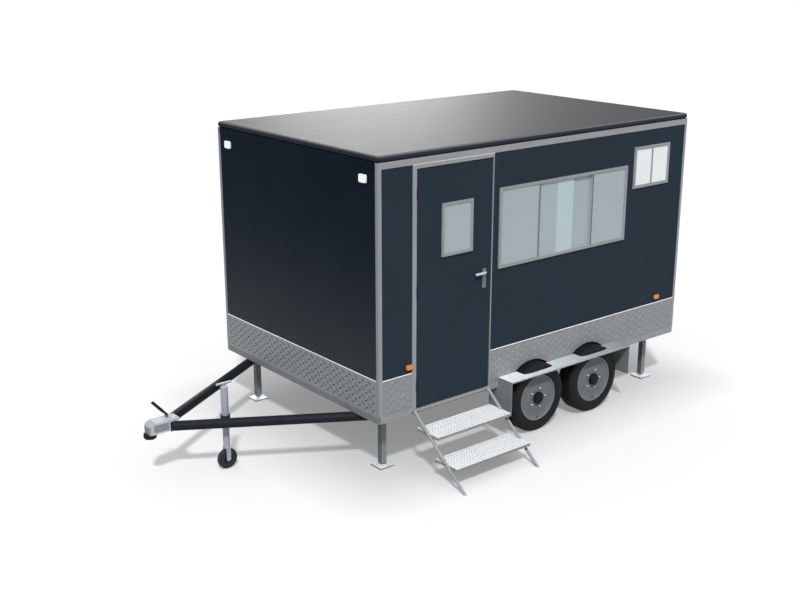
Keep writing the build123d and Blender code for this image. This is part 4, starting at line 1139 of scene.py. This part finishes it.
def leg_details(end, side):
    """Pin heads on a leg's bracket, the stem's nut and the foot's weld."""
    pivot = Vector(joints[f"leg_{end}_{side}_fold"]["pos_m"])
    low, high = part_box(f"leg_{end}_{side}")
    bracket = min(solid_boxes("leg_brackets"), key=lambda box: ((box[0] + box[1]) / 2 - pivot).length)
    pins = Shape()
    for level in (bracket[0].y, bracket[1].y):
        out = Vector((0, -1 if level < pivot.y else 1, 0))
        pins.bolt((pivot.x, level, pivot.z), out, PIN_HEAD_RADIUS, PIN_HEAD_DEPTH)
    pins.piece(f"leg_pin_{end}_{side}", "cabin", "leg_zinc")
    screw = Shape()
    foot_top, tube_bottom = levels(f"leg_{end}_{side}")[1:3]
    foot = Vector((pivot.x, pivot.y, foot_top))
    stem = LEG_STEM_RADIUS
    weld = ((stem + FOOT_WELD, 0), (stem, FOOT_WELD), (stem * 0.9, FOOT_WELD), (stem * 0.9, 0))
    screw.lathe(foot, (0, 0, 1), weld, closed=True)
    nut = Vector((pivot.x, pivot.y, tube_bottom - LEG_NUT_HEIGHT))
    screw.knob(nut, (0, 0, 1), LEG_NUT_SHARES, LEG_NUT_RADIUS, LEG_NUT_HEIGHT, HEX_SIDES)
    screw.piece(f"leg_screw_{end}_{side}", f"leg_{end}_{side}", "leg_zinc")


def perforated_sheet(shape, low, high):
    """A flat sheet with rows of round holes, inside a plain border."""
    inner_low = low + Vector((TREAD_BORDER, TREAD_BORDER, 0))
    inner_high = high - Vector((TREAD_BORDER, TREAD_BORDER, 0))
    size = inner_high - inner_low
    pitch = Vector((size.x / HOLE_COLUMNS, size.y / HOLE_ROWS, 0))
    sides = HOLE_SIDES
    turns = [2 * math.pi * step / sides for step in range(sides)]
    rim = [Vector((round(math.cos(turn)), round(math.sin(turn)), 0)) for turn in turns]
    hole = [Vector((math.cos(turn), math.sin(turn), 0)) * HOLE_RADIUS for turn in turns]
    for column in range(HOLE_COLUMNS):
        for row in range(HOLE_ROWS):
            middle = inner_low + Vector((pitch.x * (column + 0.5), pitch.y * (row + 0.5), 0))
            outer = [middle + Vector((point.x * pitch.x / 2, point.y * pitch.y / 2, 0)) for point in rim]
            inner = [middle + point for point in hole]
            points = []
            for level in (low.z, high.z):
                lift = Vector((0, 0, level - low.z))
                points += [point + lift for point in outer] + [point + lift for point in inner]
            loops = []
            for step in range(sides):
                after = (step + 1) % sides
                for base in (0, 2 * sides):
                    loops.append((base + step, base + after, base + sides + after, base + sides + step))
                loops.append((sides + step, sides + after, 3 * sides + after, 3 * sides + step))
            shape.skin(points, loops)
    border = ((low, Vector((high.x, inner_low.y, high.z))),
              (Vector((low.x, inner_high.y, low.z)), high),
              (Vector((low.x, inner_low.y, low.z)), Vector((inner_low.x, inner_high.y, high.z))),
              (Vector((inner_high.x, inner_low.y, low.z)), Vector((high.x, inner_high.y, high.z))))
    for part_low, part_high in border:
        shape.box(part_low, part_high, TREAD_EDGE)


def step_details():
    """Perforated folded treads, dark pans under them as painted shade seen through the holes, and the stringers'
    hooks at the sill.
    """
    treads = Shape()
    pans = Shape()
    for low, high in solid_boxes("step_treads"):
        perforated_sheet(treads, Vector((low.x, low.y, high.z - TREAD_SHEET)), high)
        rim_low, rim_high = low.copy(), high.copy()
        rim_high.z = high.z - TREAD_SHEET * 0.5
        treads.ring(rim_low, rim_high, 2, TREAD_SHEET)
        # A dark pan under each tread, painted shade that shows through the holes
        pan_low = low + Vector((TREAD_SHEET, TREAD_SHEET, (high.z - low.z) * 0.55))
        pan_high = high - Vector((TREAD_SHEET, TREAD_SHEET, TREAD_SHEET * 2))
        pans.box(pan_low, pan_high)
    treads.piece("perforated_treads", "cabin", "step_plate", replaces=["step_treads"])
    pans.piece("tread_shadow_pans", "cabin", "step_shadow")
    hooks = Shape()
    sill_low, sill_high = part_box("door_sill")
    for low, high in solid_boxes("step_stringers"):
        x = (low.x + high.x) / 2
        width, depth, height = STEP_HOOK_SIZE
        hooks.box((x - width / 2, sill_low.y - depth, high.z - height),
                  (x + width / 2, sill_low.y, high.z - HOOK_BELOW_TOP))
        hooks.bolt((x, sill_low.y - depth, high.z - height * 0.8), (0, -1, 0),
                   BOLT_RADIUS * 0.6, BOLT_HEIGHT * 0.6)
    hooks.piece("step_hooks", "cabin", "galvanised_steel")


def direction(azimuth, elevation):
    """A vector of length one towards a bearing and a height above the floor."""
    flat = math.cos(elevation)
    return Vector((math.sin(azimuth) * flat, -math.cos(azimuth) * flat, math.sin(elevation)))


def stand(data, location, back):
    """Put a camera or lamp in the scene, facing away from a direction."""
    made = bpy.data.objects.new(data.name, data)
    made.location = location
    made.rotation_mode = "QUATERNION"
    made.rotation_quaternion = back.to_track_quat("Z", "Y")
    bpy.context.scene.collection.objects.link(made)
    return made


def add_camera():
    data = bpy.data.cameras.new("photo_camera")
    data.sensor_width = SENSOR_WIDTH_MM
    data.sensor_fit = "HORIZONTAL"
    data.lens = FOCAL_PIXELS * SENSOR_WIDTH_MM / IMAGE_WIDTH_PIXELS
    data.clip_end = CLIP_END
    place = Vector((body_low.x, body_low.y, 0)) + CAMERA_OFFSET
    camera = stand(data, place, direction(CAMERA_AZIMUTH, CAMERA_ELEVATION))
    bpy.context.scene.camera = camera
    return camera


def seen_rays(net):
    """One for rays that show the background: from the camera, mirrors and glass."""
    path = net.add("ShaderNodeLightPath").outputs
    total = path["Is Camera Ray"]
    for name in ("Is Glossy Ray", "Is Transmission Ray"):
        total = net.maths("MAXIMUM", total, path[name])
    return total


def floor_painted_shadow(net):
    """Floor colour, darker close to the body as a painted contact shadow."""
    half = (body_high - body_low) / 2
    value = net.add("ShaderNodeTexCoord").outputs["Object"]
    for step in (("SUBTRACT", (body_middle.x, body_middle.y, 0)), ("ABSOLUTE",),
                 ("SUBTRACT", (half.x, half.y, 0)), ("MAXIMUM", (0, 0, 0))):
        value = net.operate("ShaderNodeVectorMath", step[0], value, *step[1:]).outputs["Vector"]
    distance = net.operate("ShaderNodeVectorMath", "LENGTH", value).outputs["Value"]
    return net.span(distance, 0.0, FLOOR_SHADOW_REACH, FLOOR_COLOUR * FLOOR_SHADOW_SHARE, FLOOR_COLOUR)


def add_floor():
    """Pale floor that keeps the object's shadow, with a painted contact shadow close to the body."""
    half = FLOOR_HALF_SIZE
    corners = [(-half, -half, 0), (half, -half, 0), (half, half, 0), (-half, half, 0)]
    mesh = bpy.data.meshes.new("studio_floor")
    mesh.from_pydata(corners, [], [(0, 1, 2, 3)])
    material = bpy.data.materials.new("studio_floor")
    material.use_nodes = True
    net = Nodes(material.node_tree)
    net.tree.nodes.clear()
    seen = seen_rays(net)
    level = net.span(seen, 0.0, 1.0, FLOOR_BOUNCE, floor_painted_shadow(net))
    diffuse = net.add("ShaderNodeBsdfDiffuse", Color=level)
    glow = net.add("ShaderNodeEmission", Strength=net.maths("MULTIPLY", seen, FLOOR_GLOW))
    both = net.add("ShaderNodeAddShader")
    net.feed(both.inputs[0], diffuse.outputs["BSDF"])
    net.feed(both.inputs[1], glow.outputs["Emission"])
    net.add("ShaderNodeOutputMaterial", Surface=both.outputs["Shader"])
    mesh.materials.append(material)
    floor = bpy.data.objects.new("studio_floor", mesh)
    bpy.context.scene.collection.objects.link(floor)


def add_world():
    """White for rays that show the background, plain soft light for the rest."""
    world = bpy.data.worlds.new("studio")
    bpy.context.scene.world = world
    world.use_nodes = True
    net = Nodes(world.node_tree)
    height = net.split(net.add("ShaderNodeTexCoord").outputs["Generated"])["Z"]
    soft = net.tree.nodes["Background"]
    net.feed(soft.inputs["Color"], WHITE)
    net.feed(soft.inputs["Strength"], net.span(height, 0.0, 1.0, SKY_HORIZON, SKY_ZENITH))
    white = net.add("ShaderNodeBackground", Color=WHITE, Strength=1.0)
    mix = net.add("ShaderNodeMixShader", Fac=seen_rays(net))
    net.feed(mix.inputs[1], soft.outputs["Background"])
    net.feed(mix.inputs[2], white.outputs["Background"])
    net.feed(net.tree.nodes["World Output"].inputs["Surface"], mix.outputs["Shader"])


def add_lights(camera):
    """Sun over the camera's shoulder, and a far softbox that shines on the roof."""
    back = direction(SUN_AZIMUTH, SUN_ELEVATION) * SUN_DISTANCE
    sun = stand(bpy.data.lights.new("key_sun", "SUN"), back, back)
    sun.data.energy = SUN_STRENGTH
    sun.data.angle = SUN_SIZE
    bearing = CAMERA_AZIMUTH - SOFTBOX_BEARING
    place = Vector((
        camera.location.x - math.sin(bearing) * SOFTBOX_DISTANCE,
        camera.location.y + math.cos(bearing) * SOFTBOX_DISTANCE,
        SOFTBOX_HEIGHT,
    ))
    target = Vector((body_middle.x, body_middle.y, body_high.z))
    softbox = stand(bpy.data.lights.new("roof_softbox", "AREA"), place, place - target)
    softbox.data.size = SOFTBOX_SIZE
    softbox.data.energy = SOFTBOX_POWER
    softbox.visible_camera = False
    softbox.visible_diffuse = False


make_looks()
dress_nodes()
checker_bars()
skirt_caps()
base_band()
head_bead()
trim_rivets()
glass_gaskets("window_glass", "window_gaskets", "cabin")
glass_gaskets("door_window_glass", "door_window_gasket", "door")
door_seal()
door_furniture()
lamp_details()
for corner in CORNERS:
    wheel_details(*corner)
    leg_details(*corner)
slot_lips()
coupling_details()
jockey_details()
step_details()
add_floor()
add_world()
add_lights(add_camera())
bpy.context.scene.view_settings.view_transform = "Standard"
